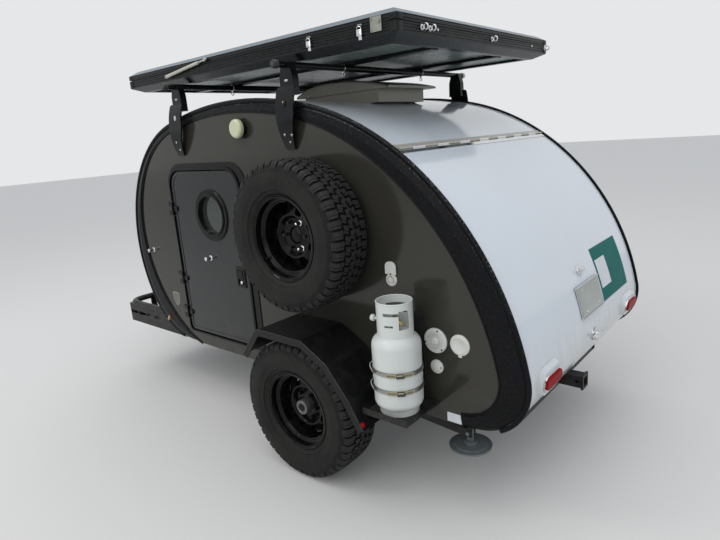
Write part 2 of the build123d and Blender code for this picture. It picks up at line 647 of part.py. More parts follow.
def tray(z0, z1, bevel_z, bevel, up, inset=0.0):
    """A tent half: straight sides, then a bevel in to the flat; up says which way the flat faces."""
    cx, cy = (TENT_X[0] + TENT_X[1]) / 2, 0
    length, width = TENT_X[1] - TENT_X[0] - 2 * inset, 2 * (TENT_Y - inset)
    side = extrude(Pos(cx, cy, z0) * Rectangle(length, width), z1 - z0)
    edge_z, flat_z = (z1, bevel_z) if up else (z0, bevel_z)
    wide = Pos(cx, cy, edge_z) * Rectangle(length, width)
    flat = Pos(cx, cy, flat_z) * Rectangle(length - 2 * bevel, width - 2 * bevel)
    return side + loft([wide, flat])


def tent_band(z0, z1, depth=TENT_WALL, grow=0.0):
    """A band round the tent's outside between two heights, as deep as stated."""
    x, y = (TENT_X[0] - grow, TENT_X[1] + grow), TENT_Y + grow
    inside = block((TENT_X[0] + depth, TENT_X[1] - depth), (-TENT_Y + depth, TENT_Y - depth),
                   (z0 - 1, z1 + 1))
    return block(x, (-y, y), (z0, z1)) - inside


def tent_hinge(first, z):
    """Half of the hinge across the tent's front end, on the base (0) or on the lid (1)."""
    out, spans = barrels(*TENT_HINGE, 4.5, TENT_Y - 20, HINGE_BARRELS, first)
    for y0, y1 in spans:
        out += block((TENT_X[1], TENT_HINGE[0]), (y0, y1), z)
    return out


def tent_base():
    """The lower tray: grooved sides, a flange that slopes in below, a recessed floor and two long rails."""
    shell = tray(TENT_Z[1], TENT_Z[2], TENT_Z[0], 60, False)
    shell -= block((TENT_X[0] + TENT_WALL, TENT_X[1] - TENT_WALL), (-TENT_Y + TENT_WALL, TENT_Y - TENT_WALL),
                   (2080, TENT_Z[2] + 1))
    shell -= block((TENT_X[0] + 75, TENT_X[1] - 75), (-TENT_Y + 75, TENT_Y - 75), (TENT_FLOOR, 2081))
    shell -= block((TENT_X[0] + 95, TENT_X[1] - 95), (-TENT_Y + 95, TENT_Y - 95),
                   (TENT_Z[0] - 1, TENT_FLOOR - 8))
    for z0, z1 in ((2084, 2090), (2098, 2103), (2109, 2114)):
        shell -= tent_band(z0, z1, 5, 1)
    rail = block((TENT_X[0] + 96, TENT_X[1] - 96), (TENT_RAIL_Y - 30, TENT_RAIL_Y + 30),
                 (TENT_RAIL_Z, TENT_FLOOR - 7))
    x, z = STRUT_LOW
    stud = both(rod_y(x, z, STUD_R, TENT_Y - 6, STRUT_Y + 8))
    return shell + both(rail) + stud + tent_hinge(0, (2096, TENT_HINGE[1]))


def tent_lid():
    shell = tray(TENT_Z[3], TENT_Z[4], TENT_Z[5], 45, True)
    hollow = tray(TENT_Z[3] - 1, TENT_Z[4], TENT_Z[5] - TENT_WALL, 45, True, TENT_WALL)
    shell -= hollow
    for z0, z1 in ((2131, 2135), (2147, 2150)):
        shell -= tent_band(z0, z1, 5, 1)
    x, z = STRUT_HIGH
    stud = both(rod_y(x, z, STUD_R + 2, TENT_Y - 6, STRUT_Y - 6.8))
    return shell + stud + tent_hinge(1, (TENT_HINGE[1], 2146))


def tent_bedding():
    return block((TENT_X[0] + 78, TENT_X[1] - 78), (-TENT_Y + 78, TENT_Y - 78), (TENT_FLOOR, TENT_Z[2] - 4))


def along_strut(solid):
    """A solid built about local X from the low pin, turned to lie along the strut."""
    dx, dz = STRUT_HIGH[0] - STRUT_LOW[0], STRUT_HIGH[1] - STRUT_LOW[1]
    turn = 180 - degrees(acos(-dx / hypot(dx, dz)))
    return Pos(STRUT_LOW[0], STRUT_Y, STRUT_LOW[1]) * Rot(0, -turn, 0) * solid


def strut_tube():
    bore = Pos(200, 0, 0) * Rot(0, 90, 0) * Cylinder(5.05, 330)
    tube = Pos(171.5, 0, 0) * Rot(0, 90, 0) * Cylinder(9, 333)
    eye = Rot(90, 0, 0) * (Cylinder(9, 12) - Cylinder(EYE_R, 13))
    return along_strut(tube - bore + eye)


def strut_rod():
    length = hypot(STRUT_HIGH[0] - STRUT_LOW[0], STRUT_HIGH[1] - STRUT_LOW[1])
    rod = Pos((55 + length) / 2, 0, 0) * Rot(0, 90, 0) * Cylinder(5, length - 67)
    socket = Pos(length, 0, 0) * Rot(90, 0, 0) * Cylinder(9, 12)
    return along_strut(rod + socket)


def roof_fan():
    """The vent's rim on the roof and its lid, which is highest near the front and falls away behind."""
    rim = block((-10, 550), (-220, 220), (1850, 1922))
    rise = ThreePointArc((-90, 1930), (150, 1977), (400, 1986))
    fall = TangentArc((400, 1986), (610, 1936), tangent=rise % 1)
    sides = Polyline((610, 1936), (610, 1918), (-90, 1918), (-90, 1930))
    lid = slab(make_face([rise, fall, *sides.edges()]), -235, 235)
    lid = fillet([e for e in lid.edges() if e.geom_type == GeomType.CIRCLE], 12)
    return rim + lid - slab(body_face(), -SHELL_Y, SHELL_Y)


# Front basket, receiver and bottle


def basket():
    y, front, z = BASKET_Y, BASKET_X, BASKET_RAIL_Z
    path = FilletPolyline((1600, y, z), (front, y, z), (front, -y, z), (1600, -y, z), radius=90)
    tube = sweep(Plane(origin=path @ 0, z_dir=path % 0) * Circle(BASKET_RAIL_R), path=path)
    floor = block((1400, front + 8), (-y - 8, y + 8), (BASKET_FLOOR_Z, BASKET_FLOOR_Z + 6))
    sides = both(block((1400, front + 8), (y, y + 8), (BASKET_FLOOR_Z, z - 10)))
    nose = block((front, front + 8), (-y, y), (BASKET_FLOOR_Z, z - 10))
    pan = floor + sides + nose
    slot = SlotOverall(105, 26)
    for i in range(4):
        hole = Pos(1710 + 118 * i, 0, 486) * Rot(90, 0, 0) * extrude(slot, 900, both=True)
        pan -= hole
    for i in range(-5, 6):
        hole = Pos(front, 128 * i, 486) * Rot(90, 0, 90) * extrude(slot, 40, both=True)
        pan -= hole
    pan = pan + tube
    return pan - slab(body_face(-8), -SHELL_Y - 40, SHELL_Y + 40)


# Cuts through the bottle's collar. Columns: degrees round from forward, width, z from, z to
COLLAR_CUTS = [(157, 50, 392, 474), (115, 70, 452, 466), (106, 38, 404, 413), (300, 90, 425, 470)]


def bottle():
    """Domed steel bottle with a foot ring, a collar with a hand slot and a wide mouth, and its valve."""
    x, y, z = BOTTLE
    r, low, high = BOTTLE_R, 62.0, 305.0
    side = [Line((0, 22), (58, 22)), ThreePointArc((58, 22), (97, 34), (r, low)),
            Line((r, low), (r, high)), ThreePointArc((r, high), (96, 341), (60, 360)),
            Line((60, 360), (0, 366)), Line((0, 366), (0, 22))]
    body = revolve(Plane.XZ * make_face(side), Axis.Z)
    foot = Pos(0, 0, 20) * (Cylinder(86, 40) - Cylinder(82.5, 41))
    collar = Pos(0, 0, 425) * (Cylinder(COLLAR_R, 156) - Cylinder(COLLAR_R - 3.5, 157))
    for turn, width, z0, z1 in COLLAR_CUTS:
        collar -= Rot(0, 0, turn) * Pos(COLLAR_R, 0, (z0 + z1) / 2) * Box(50, width, z1 - z0)
    valve = Pos(0, 0, 390) * Cylinder(18, 80)
    return Pos(x, y, z) * (body + foot + collar + valve)


def bottle_tray():
    x, y, z = BOTTLE
    plate = block((x - 118, x + 118), (WALL_Y, y + 118), (z - 6, z))
    lip = block((x - 118, x + 118), (y + 112, y + 118), (z - 6, z + 22))
    back = block((x - 50, x + 50), (WALL_Y, WALL_Y + 8), (z - 30, 905))
    out = plate + lip + back
    for strap_z in (620, 700):
        band = rod_z(x, y, BOTTLE_R + 3, strap_z - 9, strap_z + 9) - rod_z(x, y, BOTTLE_R + 0.2, 500, 900)
        arm = block((x - 34, x + 34), (WALL_Y + 8, y - BOTTLE_R + 8), (strap_z - 12, strap_z + 12))
        buckle = Pos(x, y, strap_z) * Rot(0, 0, 131) * Pos(BOTTLE_R + 7, 0, 0) * Box(11, 28, 17)
        out += band + (arm + buckle - rod_z(x, y, BOTTLE_R + 0.2, 500, 900))
    return out


# Hatch fittings


def on_hatch(z, solid):
    """A solid built on a flat patch with Z outward, set on the hatch's middle at a height."""
    best = min((a / 10 for a in range(400, 1200)), key=lambda a: abs(outline_point(-a)[1] - z))
    x, h = outline_point(-best)
    return Pos(x, 0, h) * Rot(0, -best, 0) * solid


def tail_lights():
    lens = extrude(Pos(0, LIGHT_Y, POD_OUT) * Rot(0, 0, 90) * SlotOverall(166, 54), 17)
    lens = fillet(lens.edges().group_by(Axis.Z)[-1], 6)
    return both(on_hatch(LIGHT_Z, lens))


def plate_carrier():
    """The blank number plate's carrier: a pad, the plate and a rim along its top and its bottom."""
    carrier = Pos(0, PLATE_Y, 0) * Box(120, 200, 10) + Pos(0, PLATE_Y, 5) * Box(158, 311, 4)
    for side in (-76, 76):
        carrier += Pos(side, PLATE_Y, 9) * Box(6, 311, 8)
    return on_hatch(PLATE_Z, carrier)


def plate_lamp():
    """A round base with a short bright hood that lies across it."""
    hood = Pos(-4, 0, 14) * Rot(90, 0, 0) * Cylinder(11, 44)
    return on_hatch(PLATE_LAMP[1], Pos(0, PLATE_LAMP[0], 0) * (Cylinder(25, 14) + Box(16, 20, 20) + hood))


def hatch_handle():
    """The latch's round rose, its stem and a tapered T grip."""
    rose = Cylinder(33, 10) + Pos(0, 0, 5) * Cylinder(25, 8) + Pos(0, 0, 13) * Cylinder(9, 24)
    grip = FilletPolyline((-11, -55), (11, -55), (8, 0), (11, 55), (-11, 55), (-8, 0), radius=4, close=True)
    return on_hatch(HANDLE_Z, rose + Pos(0, 0, 17) * extrude(make_face(grip), 13.6))


def hatch_hardware():
    bezel = SlotOverall(186, 74) - SlotOverall(167, 55)
    bezel = on_hatch(LIGHT_Z, extrude(Pos(0, LIGHT_Y, POD_OUT) * Rot(0, 0, 90) * bezel, 9))
    return plate_carrier() + plate_lamp() + hatch_handle() - hatch_shell() + hatch_hinge(-1) + both(bezel)


def mirrored(left):
    return mirror(left, about=Plane.XZ)


def save(name, solid):
    export_step(Pos(AXLE_X, 0, 0) * solid, f"parts/{name}.step")


os.makedirs("parts", exist_ok=True)

left_wheel = (0.0, WHEEL_Y, WHEEL_Z)
# Pieces that are alone, or that hold both sides of the body in one node
single = {
    "frame_rails": frame_rails, "crossmembers": crossmembers, "tongue_tube": tongue_tube,
    "tongue_braces": tongue_braces, "coupler": coupler, "jack_tube": jack_tube, "jack_leg": jack_leg,
    "receiver_tube": receiver_tube, "swing_arms": swing_arms, "floor_pan": floor_pan,
    "roof_shell": roof_shell, "hatch_shell": hatch_shell, "hatch_hinge": hatch_hinge,
    "hatch_hardware": hatch_hardware, "tail_lights": tail_lights, "galley": bulkhead_and_galley,
    "mattress": mattress, "wall_fittings": wall_fittings, "porch_lights": porch_lights,
    "wall_ports": wall_ports, "spare_carrier": spare_carrier,
    "propane_bottle": bottle, "propane_tray": bottle_tray, "roof_bars": roof_bars, "roof_feet": roof_feet,
    "tent_base": tent_base, "tent_lid": tent_lid, "tent_bedding": tent_bedding, "roof_fan": roof_fan,
    "basket": basket,
}
for name, make in single.items():
    save(name, make())
for name, make in {"edge_bands": edge_band, "door_frames": door_frame, "fenders": fender}.items():
    save(name, both(make()))

# Pieces made once and mirrored, one node on each side
sided = {
    "side_panel": side_panel, "door": door_leaf, "window_ring": window_ring, "window_glass": window_glass,
    "door_hardware": door_hardware, "stabiliser_leg": stabiliser_leg, "stabiliser_foot": stabiliser_foot,
    "strut_tube": strut_tube, "strut_rod": strut_rod,
    "tyre": lambda: to_wheel(tyre(), *left_wheel), "rim": lambda: to_wheel(rim(), *left_wheel),
    "hub": lambda: to_wheel(hub(), *left_wheel),
}
for name, make in sided.items():
    left = make()
    save(name + "_left", left)
    save(name + "_right", mirrored(left))
save("spare_tyre", to_wheel(tyre(), *SPARE))
save("spare_rim", to_wheel(rim(), *SPARE))
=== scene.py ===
import math

import bmesh
import bpy
import numpy as np
from mathutils import Matrix, Vector


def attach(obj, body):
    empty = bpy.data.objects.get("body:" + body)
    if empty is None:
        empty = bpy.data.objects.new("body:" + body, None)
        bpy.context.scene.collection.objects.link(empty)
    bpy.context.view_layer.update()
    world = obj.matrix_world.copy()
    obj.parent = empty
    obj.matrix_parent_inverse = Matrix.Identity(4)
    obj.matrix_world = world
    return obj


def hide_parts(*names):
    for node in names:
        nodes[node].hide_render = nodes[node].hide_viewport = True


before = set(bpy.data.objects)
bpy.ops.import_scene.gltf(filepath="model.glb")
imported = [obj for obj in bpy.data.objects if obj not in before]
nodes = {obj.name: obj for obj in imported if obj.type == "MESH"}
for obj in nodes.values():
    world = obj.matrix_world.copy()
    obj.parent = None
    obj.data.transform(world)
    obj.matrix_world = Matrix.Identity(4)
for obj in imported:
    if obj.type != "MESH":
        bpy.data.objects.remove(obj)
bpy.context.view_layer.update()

# Camera: a phone's wide lens held at head height behind the left rear corner, turned a little
# clockwise. Its place was worked out from the wheel, the spare and the rear plate.
# New pieces are worked out with x from the wheel axle, and AXLE_X brings them to the shared origin.
AXLE_X = -0.910
CAM_PLACE = Vector((-1.9270 + AXLE_X, 2.6871, 1.6847))
CAM_AZ, CAM_EL, CAM_ROLL = math.radians(139.033), math.radians(-13.866), math.radians(-4.2075)
FOCAL_PX, PHOTO_PX, SENSOR_MM = 547.66, 720.0, 36.0

ahead = Vector((math.sin(CAM_AZ) * math.cos(CAM_EL), math.cos(CAM_AZ) * math.cos(CAM_EL), math.sin(CAM_EL)))
level = ahead.cross(Vector((0, 0, 1))).normalized()
upright = level.cross(ahead)
cam_x = math.cos(CAM_ROLL) * level + math.sin(CAM_ROLL) * upright
cam_y = -math.sin(CAM_ROLL) * level + math.cos(CAM_ROLL) * upright
lens = bpy.data.cameras.new("camera")
lens.sensor_fit = "HORIZONTAL"
lens.sensor_width = SENSOR_MM
lens.lens = FOCAL_PX * SENSOR_MM / PHOTO_PX
camera = bpy.data.objects.new("camera", lens)
camera.matrix_world = Matrix((
    (cam_x.x, cam_y.x, -ahead.x, CAM_PLACE.x),
    (cam_x.y, cam_y.y, -ahead.y, CAM_PLACE.y),
    (cam_x.z, cam_y.z, -ahead.z, CAM_PLACE.z),
    (0, 0, 0, 1)))
bpy.context.collection.objects.link(camera)
bpy.context.scene.camera = camera
bpy.context.scene.view_settings.view_transform = "Standard"

# Studio: a pale floor that runs out of sight, an even overcast sky, two broad soft lamps and a smaller
# key lamp, so that the gloss of the wet-looking paint has something broad to show.
FLOOR_TONE, FLOOR_HALF = (0.66, 0.65, 0.63), 40
# The sky's tone and strength as it lights, and as the lens, gloss and glass see it
SKY_LIGHT, SKY_SEEN = ((0.90, 0.94, 1.0), 0.84), ((0.86, 0.87, 0.88), 0.92)
# Lamps. Columns: name, place, aimed at, width, power, tone
LAMPS = [
    ("lamp_over", (-1.0, 0.5, 7.0), (-0.3, 0, 0.9), 9.0, 130, (1.0, 0.995, 0.98)),
    ("lamp_left", (-1.0, 7.6, 4.9), (-0.6, 0, 0.9), 6.4, 132, (1.0, 0.99, 0.97)),
    ("lamp_key", (1.8, 4.2, 6.5), (-0.5, 0.3, 0.9), 1.6, 55, (1.0, 0.98, 0.95)),
]


def studio_world():
    """An even sky that lights at one strength; the lens, gloss and glass see its paler tone."""
    world = bpy.data.worlds.new("studio")
    bpy.context.scene.world = world
    world.use_nodes = True
    tree = world.node_tree
    tree.nodes.clear()
    out = tree.nodes.new("ShaderNodeOutputWorld")
    mix = tree.nodes.new("ShaderNodeMixShader")
    path = tree.nodes.new("ShaderNodeLightPath")
    for slot, (tone, strength) in enumerate((SKY_LIGHT, SKY_SEEN), 1):
        sky = tree.nodes.new("ShaderNodeBackground")
        sky.inputs["Color"].default_value = (*tone, 1)
        sky.inputs["Strength"].default_value = strength
        tree.links.new(sky.outputs[0], mix.inputs[slot])
    total = path.outputs["Is Camera Ray"]
    for other in ("Is Glossy Ray", "Is Transmission Ray"):
        either = tree.nodes.new("ShaderNodeMath")
        either.operation = "MAXIMUM"
        tree.links.new(total, either.inputs[0])
        tree.links.new(path.outputs[other], either.inputs[1])
        total = either.outputs[0]
    tree.links.new(total, mix.inputs[0])
    tree.links.new(mix.outputs[0], out.inputs[0])


def soft_lamp(name, place, target, size, power, tone):
    """A square area lamp aimed at a place."""
    lamp = bpy.data.lights.new(name, "AREA")
    lamp.shape = "SQUARE"
    lamp.size = size
    lamp.energy = power
    lamp.color = tone
    lamp_object = bpy.data.objects.new(name, lamp)
    lamp_object.location = place
    aim = Vector(target) - Vector(place)
    lamp_object.rotation_euler = aim.to_track_quat("-Z", "Y").to_euler()
    bpy.context.collection.objects.link(lamp_object)


studio_world()
for row in LAMPS:
    soft_lamp(*row)

floor_mesh = bpy.data.meshes.new("floor")
floor_corners = [(x * FLOOR_HALF, y * FLOOR_HALF, 0) for x, y in ((-1, -1), (1, -1), (1, 1), (-1, 1))]
floor_mesh.from_pydata(floor_corners, [], [(0, 1, 2, 3)])
floor = bpy.data.objects.new("floor", floor_mesh)
bpy.context.collection.objects.link(floor)
floor_finish = bpy.data.materials.new("floor")
floor_finish.use_nodes = True
floor_shader = floor_finish.node_tree.nodes["Principled BSDF"]
floor_shader.inputs["Base Color"].default_value = (*FLOOR_TONE, 1)
floor_shader.inputs["Roughness"].default_value = 0.9
floor_mesh.materials.append(floor_finish)


# Chassis: box tube welded up and sprayed with black satin enamel, with a faint orange peel and road
# dust on what faces up. Bolts hold the coupler, the jack's clamp, the swing arms' pins and the basket.
def shader_node(tree, kind, **settings):
    """A new node of a kind, with its settings set."""
    made = tree.nodes.new(kind)
    for key, value in settings.items():
        setattr(made, key, value)
    return made


def noise(tree, vector, scale, detail=4.0, rough=0.5, stretch=(1, 1, 1)):
    """A cloud pattern from 0 to 1 on a vector, which stretch squeezes along each axis."""
    place = shader_node(tree, "ShaderNodeMapping")
    place.inputs["Scale"].default_value = stretch
    tree.links.new(vector, place.inputs["Vector"])
    cloud = shader_node(tree, "ShaderNodeTexNoise")
    cloud.inputs["Scale"].default_value = scale
    cloud.inputs["Detail"].default_value = detail
    cloud.inputs["Roughness"].default_value = rough
    tree.links.new(place.outputs[0], cloud.inputs["Vector"])
    return cloud.outputs["Fac"]


def ranged(tree, value, low, high, to_low=0.0, to_high=1.0):
    """A value moved from one range to another and held inside it."""
    change = shader_node(tree, "ShaderNodeMapRange")
    for key, number in (("From Min", low), ("From Max", high), ("To Min", to_low), ("To Max", to_high)):
        change.inputs[key].default_value = number
    tree.links.new(value, change.inputs["Value"])
    return change.outputs[0]


def times(tree, a, b):
    """The product of two values."""
    product = shader_node(tree, "ShaderNodeMath", operation="MULTIPLY")
    tree.links.new(a, product.inputs[0])
    tree.links.new(b, product.inputs[1])
    return product.outputs[0]


def tinted(tree, amount, under, over):
    """One colour laid over another by an amount. Each is a socket or three numbers."""
    mix = shader_node(tree, "ShaderNodeMix", data_type="RGBA")
    tree.links.new(amount, mix.inputs[0])
    for socket, colour in ((mix.inputs[6], under), (mix.inputs[7], over)):
        if isinstance(colour, tuple):
            socket.default_value = (*colour, 1)
        else:
            tree.links.new(colour, socket)
    return mix.outputs[2]


def component(tree, vector, axis):
    """One component of a vector: X, Y or Z."""
    split = shader_node(tree, "ShaderNodeSeparateXYZ")
    tree.links.new(vector, split.inputs[0])
    return split.outputs[axis]


def facing_up(tree, low=-0.6, least=0.25):
    """1 where the surface faces up, falling to the least where it faces down."""
    normal = shader_node(tree, "ShaderNodeNewGeometry").outputs["Normal"]
    return ranged(tree, component(tree, normal, "Z"), low, 1.0, least, 1.0)


def finish(name, colour, rough, metal=0.0, coat=0.0, shine=0.5, mottle=0.12, mottle_scale=6.0,
           stretch=(1, 1, 1), grain=90.0, height=0.0002, dust=0.0, dust_tone=(0.30, 0.27, 0.22),
           dust_scale=14.0, layers=None):
    """A finish on object coordinates: a wide cloud moves its colour and gloss, a fine one its surface.

    Dust is a cloud's mask times how far the surface faces up, paler and rougher than the paint. The
    layers function gets the colour and roughness so far and adds what is special to one finish.
    """
    made = bpy.data.materials.new(name)
    made.use_nodes = True
    tree = made.node_tree
    shader = tree.nodes["Principled BSDF"]
    shader.inputs["Metallic"].default_value = metal
    shader.inputs["Coat Weight"].default_value = coat
    shader.inputs["Coat Roughness"].default_value = 0.05
    shader.inputs["Specular IOR Level"].default_value = shine
    place = shader_node(tree, "ShaderNodeTexCoord").outputs["Object"]
    wide = noise(tree, place, mottle_scale, 5.0, stretch=stretch)
    dark = tuple(c * (1 - mottle) for c in colour)
    pale = tuple(min(1.0, c * (1 + mottle)) for c in colour)
    colour_out = tinted(tree, wide, dark, pale)
    rough_out = ranged(tree, wide, 0.2, 0.8, max(0.02, rough * 0.82), min(1.0, rough * 1.18))
    if dust:
        speck = ranged(tree, noise(tree, place, dust_scale, 8.0, 0.7), 0.42, 0.75, 0.0, dust)
        amount = times(tree, speck, facing_up(tree))
        colour_out = tinted(tree, amount, colour_out, dust_tone)
        dull = shader_node(tree, "ShaderNodeMix")
        dull.inputs[3].default_value = 0.85
        tree.links.new(amount, dull.inputs[0])
        tree.links.new(rough_out, dull.inputs[2])
        rough_out = dull.outputs[0]
    if layers:
        colour_out, rough_out = layers(tree, place, colour_out, rough_out)
    tree.links.new(colour_out, shader.inputs["Base Color"])
    tree.links.new(rough_out, shader.inputs["Roughness"])
    if height:
        bump = shader_node(tree, "ShaderNodeBump")
        bump.inputs["Distance"].default_value = height
        bump.inputs["Strength"].default_value = 1.0
        tree.links.new(noise(tree, place, grain, 4.0, stretch=stretch), bump.inputs["Height"])
        tree.links.new(bump.outputs[0], shader.inputs["Normal"])
    return made


def dress(material, *names):
    """Gives CAD nodes their finish."""
    for node_name in names:
        for slot in nodes[node_name].material_slots:
            slot.link = "OBJECT"
            slot.material = material


def grid_quads(rows, cols, wrap_rows=False, wrap_cols=False):
    """Corner numbers of a rows by cols grid's faces, joined across an edge where it wraps."""
    i = np.arange(rows if wrap_rows else rows - 1)[:, None]
    j = np.arange(cols if wrap_cols else cols - 1)[None, :]
    below, right = (i + 1) % rows, (j + 1) % cols
    corners = [i * cols + j, below * cols + j, below * cols + right, i * cols + right]
    return np.stack(np.broadcast_arrays(*corners), -1).reshape(-1, 4)


def joined(*shapes):
    """Several shapes, each of points and quads, as one."""
    starts = np.cumsum([0] + [len(points) for points, _ in shapes[:-1]])
    quads = [quads + start for (_, quads), start in zip(shapes, starts)]
    return np.concatenate([points for points, _ in shapes]), np.concatenate(quads)


def turned(profile, steps=24):
    """A lathe shape round local Z from rows of (radius, height, how hexagonal it is from 0 to 1).

    The radius at angle a is r, or for a hexagon r cos 30 / cos(a mod 60 - 30), blended by the third
    column. The first and last rows have radius 0, so the shape is closed.
    """
    profile = np.array([(*row, 0) if len(row) == 2 else row for row in profile], float)
    angle = np.arange(steps) * 2 * np.pi / steps
    hexagon = np.cos(np.pi / 6) / np.cos(np.mod(angle, np.pi / 3) - np.pi / 6)
    radius = profile[:, :1] * (1 + profile[:, 2:3] * (hexagon - 1))
    x, y = radius * np.cos(angle), radius * np.sin(angle)
    z = np.broadcast_to(profile[:, 1:2], x.shape)
    return np.stack([x, y, z], -1).reshape(-1, 3), grid_quads(len(profile), steps, wrap_cols=True)


def placed(shape, places, normals, turn=0.0):
    """Copies of a shape at places: its Z goes along the normal there, its Y up the surface.

    A point goes to place + x side + y rise + z normal, where side = up x normal and rise = normal x side.
    """
    points, quads = shape
    places = np.atleast_2d(np.asarray(places, float))
    normals = np.broadcast_to(np.asarray(normals, float), places.shape)
    normals = normals / np.linalg.norm(normals, axis=1, keepdims=True)
    guide = np.where(np.abs(normals[:, 2:3]) > 0.97, (1.0, 0.0, 0.0), (0.0, 0.0, 1.0))
    side = np.cross(guide, normals)
    side /= np.linalg.norm(side, axis=1, keepdims=True)
    rise = np.cross(normals, side)
    side, rise = (math.cos(turn) * side + math.sin(turn) * rise,
                  math.cos(turn) * rise - math.sin(turn) * side)
    world = places[:, None] + points[:, 0:1] * side[:, None] + points[:, 1:2] * rise[:, None]
    world = world + points[:, 2:3] * normals[:, None]
    numbers = quads + len(points) * np.arange(len(places))[:, None, None]
    return world.reshape(-1, 3), numbers.reshape(-1, 4)


def add_piece(name, shape, material, body="trailer", stands_for=(), attributes=None, crease=40.0):
    """A mesh piece from points, x from the axle, and quads: doubles merged, faces outward, riding."""
    points, quads = shape
    mesh = bpy.data.meshes.new(name)
    mesh.from_pydata((points + (AXLE_X, 0, 0)).tolist(), [], quads.tolist())
    for key, values in (attributes or {}).items():
        mesh.attributes.new(key, "FLOAT", "POINT").data.foreach_set("value", values.astype(np.float32))
    work = bmesh.new()
    work.from_mesh(mesh)
    bmesh.ops.remove_doubles(work, verts=work.verts, dist=1e-6)
    bmesh.ops.recalc_face_normals(work, faces=work.faces)
    work.to_mesh(mesh)
    work.free()
    mesh.polygons.foreach_set("use_smooth", np.ones(len(mesh.polygons), bool))
    mesh.set_sharp_from_angle(angle=math.radians(crease))
    mesh.materials.append(material)
    piece = bpy.data.objects.new(name, mesh)
    bpy.context.collection.objects.link(piece)
    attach(piece, body)
    if stands_for:
        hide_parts(*stands_for)
    return piece


def both_sides(*spots):
    """Places on the left with their mirror images on the right, and the direction out of each wall."""
    places = [(x, s * y, z) for x, y, z in spots for s in (1, -1)]
    return places, [(0, s, 0) for _ in spots for s in (1, -1)]


def bolt(radius, height):
    """A hexagon bolt head on its washer."""
    r, h = radius, height
    return turned([(0, 0), (r * 1.35, 0), (r * 1.35, h * 0.22), (r, h * 0.22, 1), (r, h * 0.85, 1),
                   (r * 0.86, h, 0.4), (0, h)])


chassis_black = finish("chassis_black", (0.012, 0.012, 0.0125), 0.42, coat=0.04, shine=0.2, grain=180,
                       height=0.0001, dust=0.16)
dress(chassis_black, "frame_rails", "crossmembers", "tongue_tube", "tongue_braces", "coupler",
      "receiver_tube", "swing_arms", "spare_carrier", "propane_tray", "basket", "stabiliser_leg_left",
      "stabiliser_leg_right")
plated_steel = finish("plated_steel", (0.52, 0.52, 0.50), 0.34, metal=0.92, mottle=0.22, mottle_scale=60,
                      grain=260, height=0.00012, dust=0.25)
COUPLER_BOLTS = [(2.775, 0.044, 0.380), (2.845, 0.044, 0.380), (2.845, 0.044, 0.400)]
SWING_PIN = (0.280, 0.607, 0.300)
CLAMP_BOLTS = [(2.425, 0.038, 0.425), (2.475, 0.038, 0.425)]
BASKET_BOLTS = [(2.118, y, 0.440) for y in (-0.66, -0.22, 0.22, 0.66)]
add_piece("chassis_bolts", joined(
    placed(bolt(0.0085, 0.0075), *both_sides(*COUPLER_BOLTS)),
    placed(bolt(0.019, 0.014), *both_sides(SWING_PIN)),
    placed(bolt(0.008, 0.007), CLAMP_BOLTS, (0, 0, 1)),
    placed(bolt(0.007, 0.006), BASKET_BOLTS, (1, 0, 0)),
), plated_steel)


# Tongue jack and rear stabilisers: zinc-plated steel tube and pressed feet, gone dull and dusty. The
# crank turns in a ribbed rubber grip.
jack_zinc = finish("jack_zinc", (0.17, 0.20, 0.21), 0.42, metal=0.55, grain=260, height=0.00015, mottle=0.25,
                   mottle_scale=30, dust=0.25)
dress(jack_zinc, "jack_tube", "jack_leg", "stabiliser_foot_left", "stabiliser_foot_right")
soft_rubber = finish("soft_rubber", (0.009, 0.009, 0.009), 0.62, shine=0.2, grain=300, height=0.0001,
                     dust=0.1)
GRIP_PLACE, GRIP_RIBS = (2.450, 0.153, 0.745), 10
rib = np.linspace(0, 1, 61)
rib_rows = zip(0.0125 + 0.0011 * np.cos(rib * 2 * np.pi * GRIP_RIBS), 0.002 + 0.078 * rib)
grip = turned([(0, 0), (0.0098, 0), *rib_rows, (0.0095, 0.083), (0, 0.083)])
add_piece("jack_grip", placed(grip, GRIP_PLACE, (0, 1, 0)), soft_rubber)


# Tyres: all-terrain rubber. Five rows of blocks part along zigzag grooves, each block is cut by a thin
# sipe, and lugs of two lengths run out over the shoulders. The black has gone brown on the sidewalls.
TYRE_PITCHES = 48
# Wheels. Columns: name, body, centre x, y, z, which way is outward
WHEELS = [("tyre_left", "wheel_left", 0.0, 0.9415, 0.362, 1),
          ("tyre_right", "wheel_right", 0.0, -0.9415, 0.362, -1),
          ("spare_tyre", "trailer", -0.015, 0.9275, 1.241, 1)]
# One pitch of the tread. Columns: share of the pitch, how high it stands (0 groove, 1 block)
PITCH = np.array([(0.00, 0), (0.095, 0), (0.125, 1), (0.23, 1), (0.36, 1), (0.37, 0.5), (0.40, 0.5),
                  (0.41, 1), (0.58, 1), (0.74, 1), (0.875, 1), (0.905, 0)])
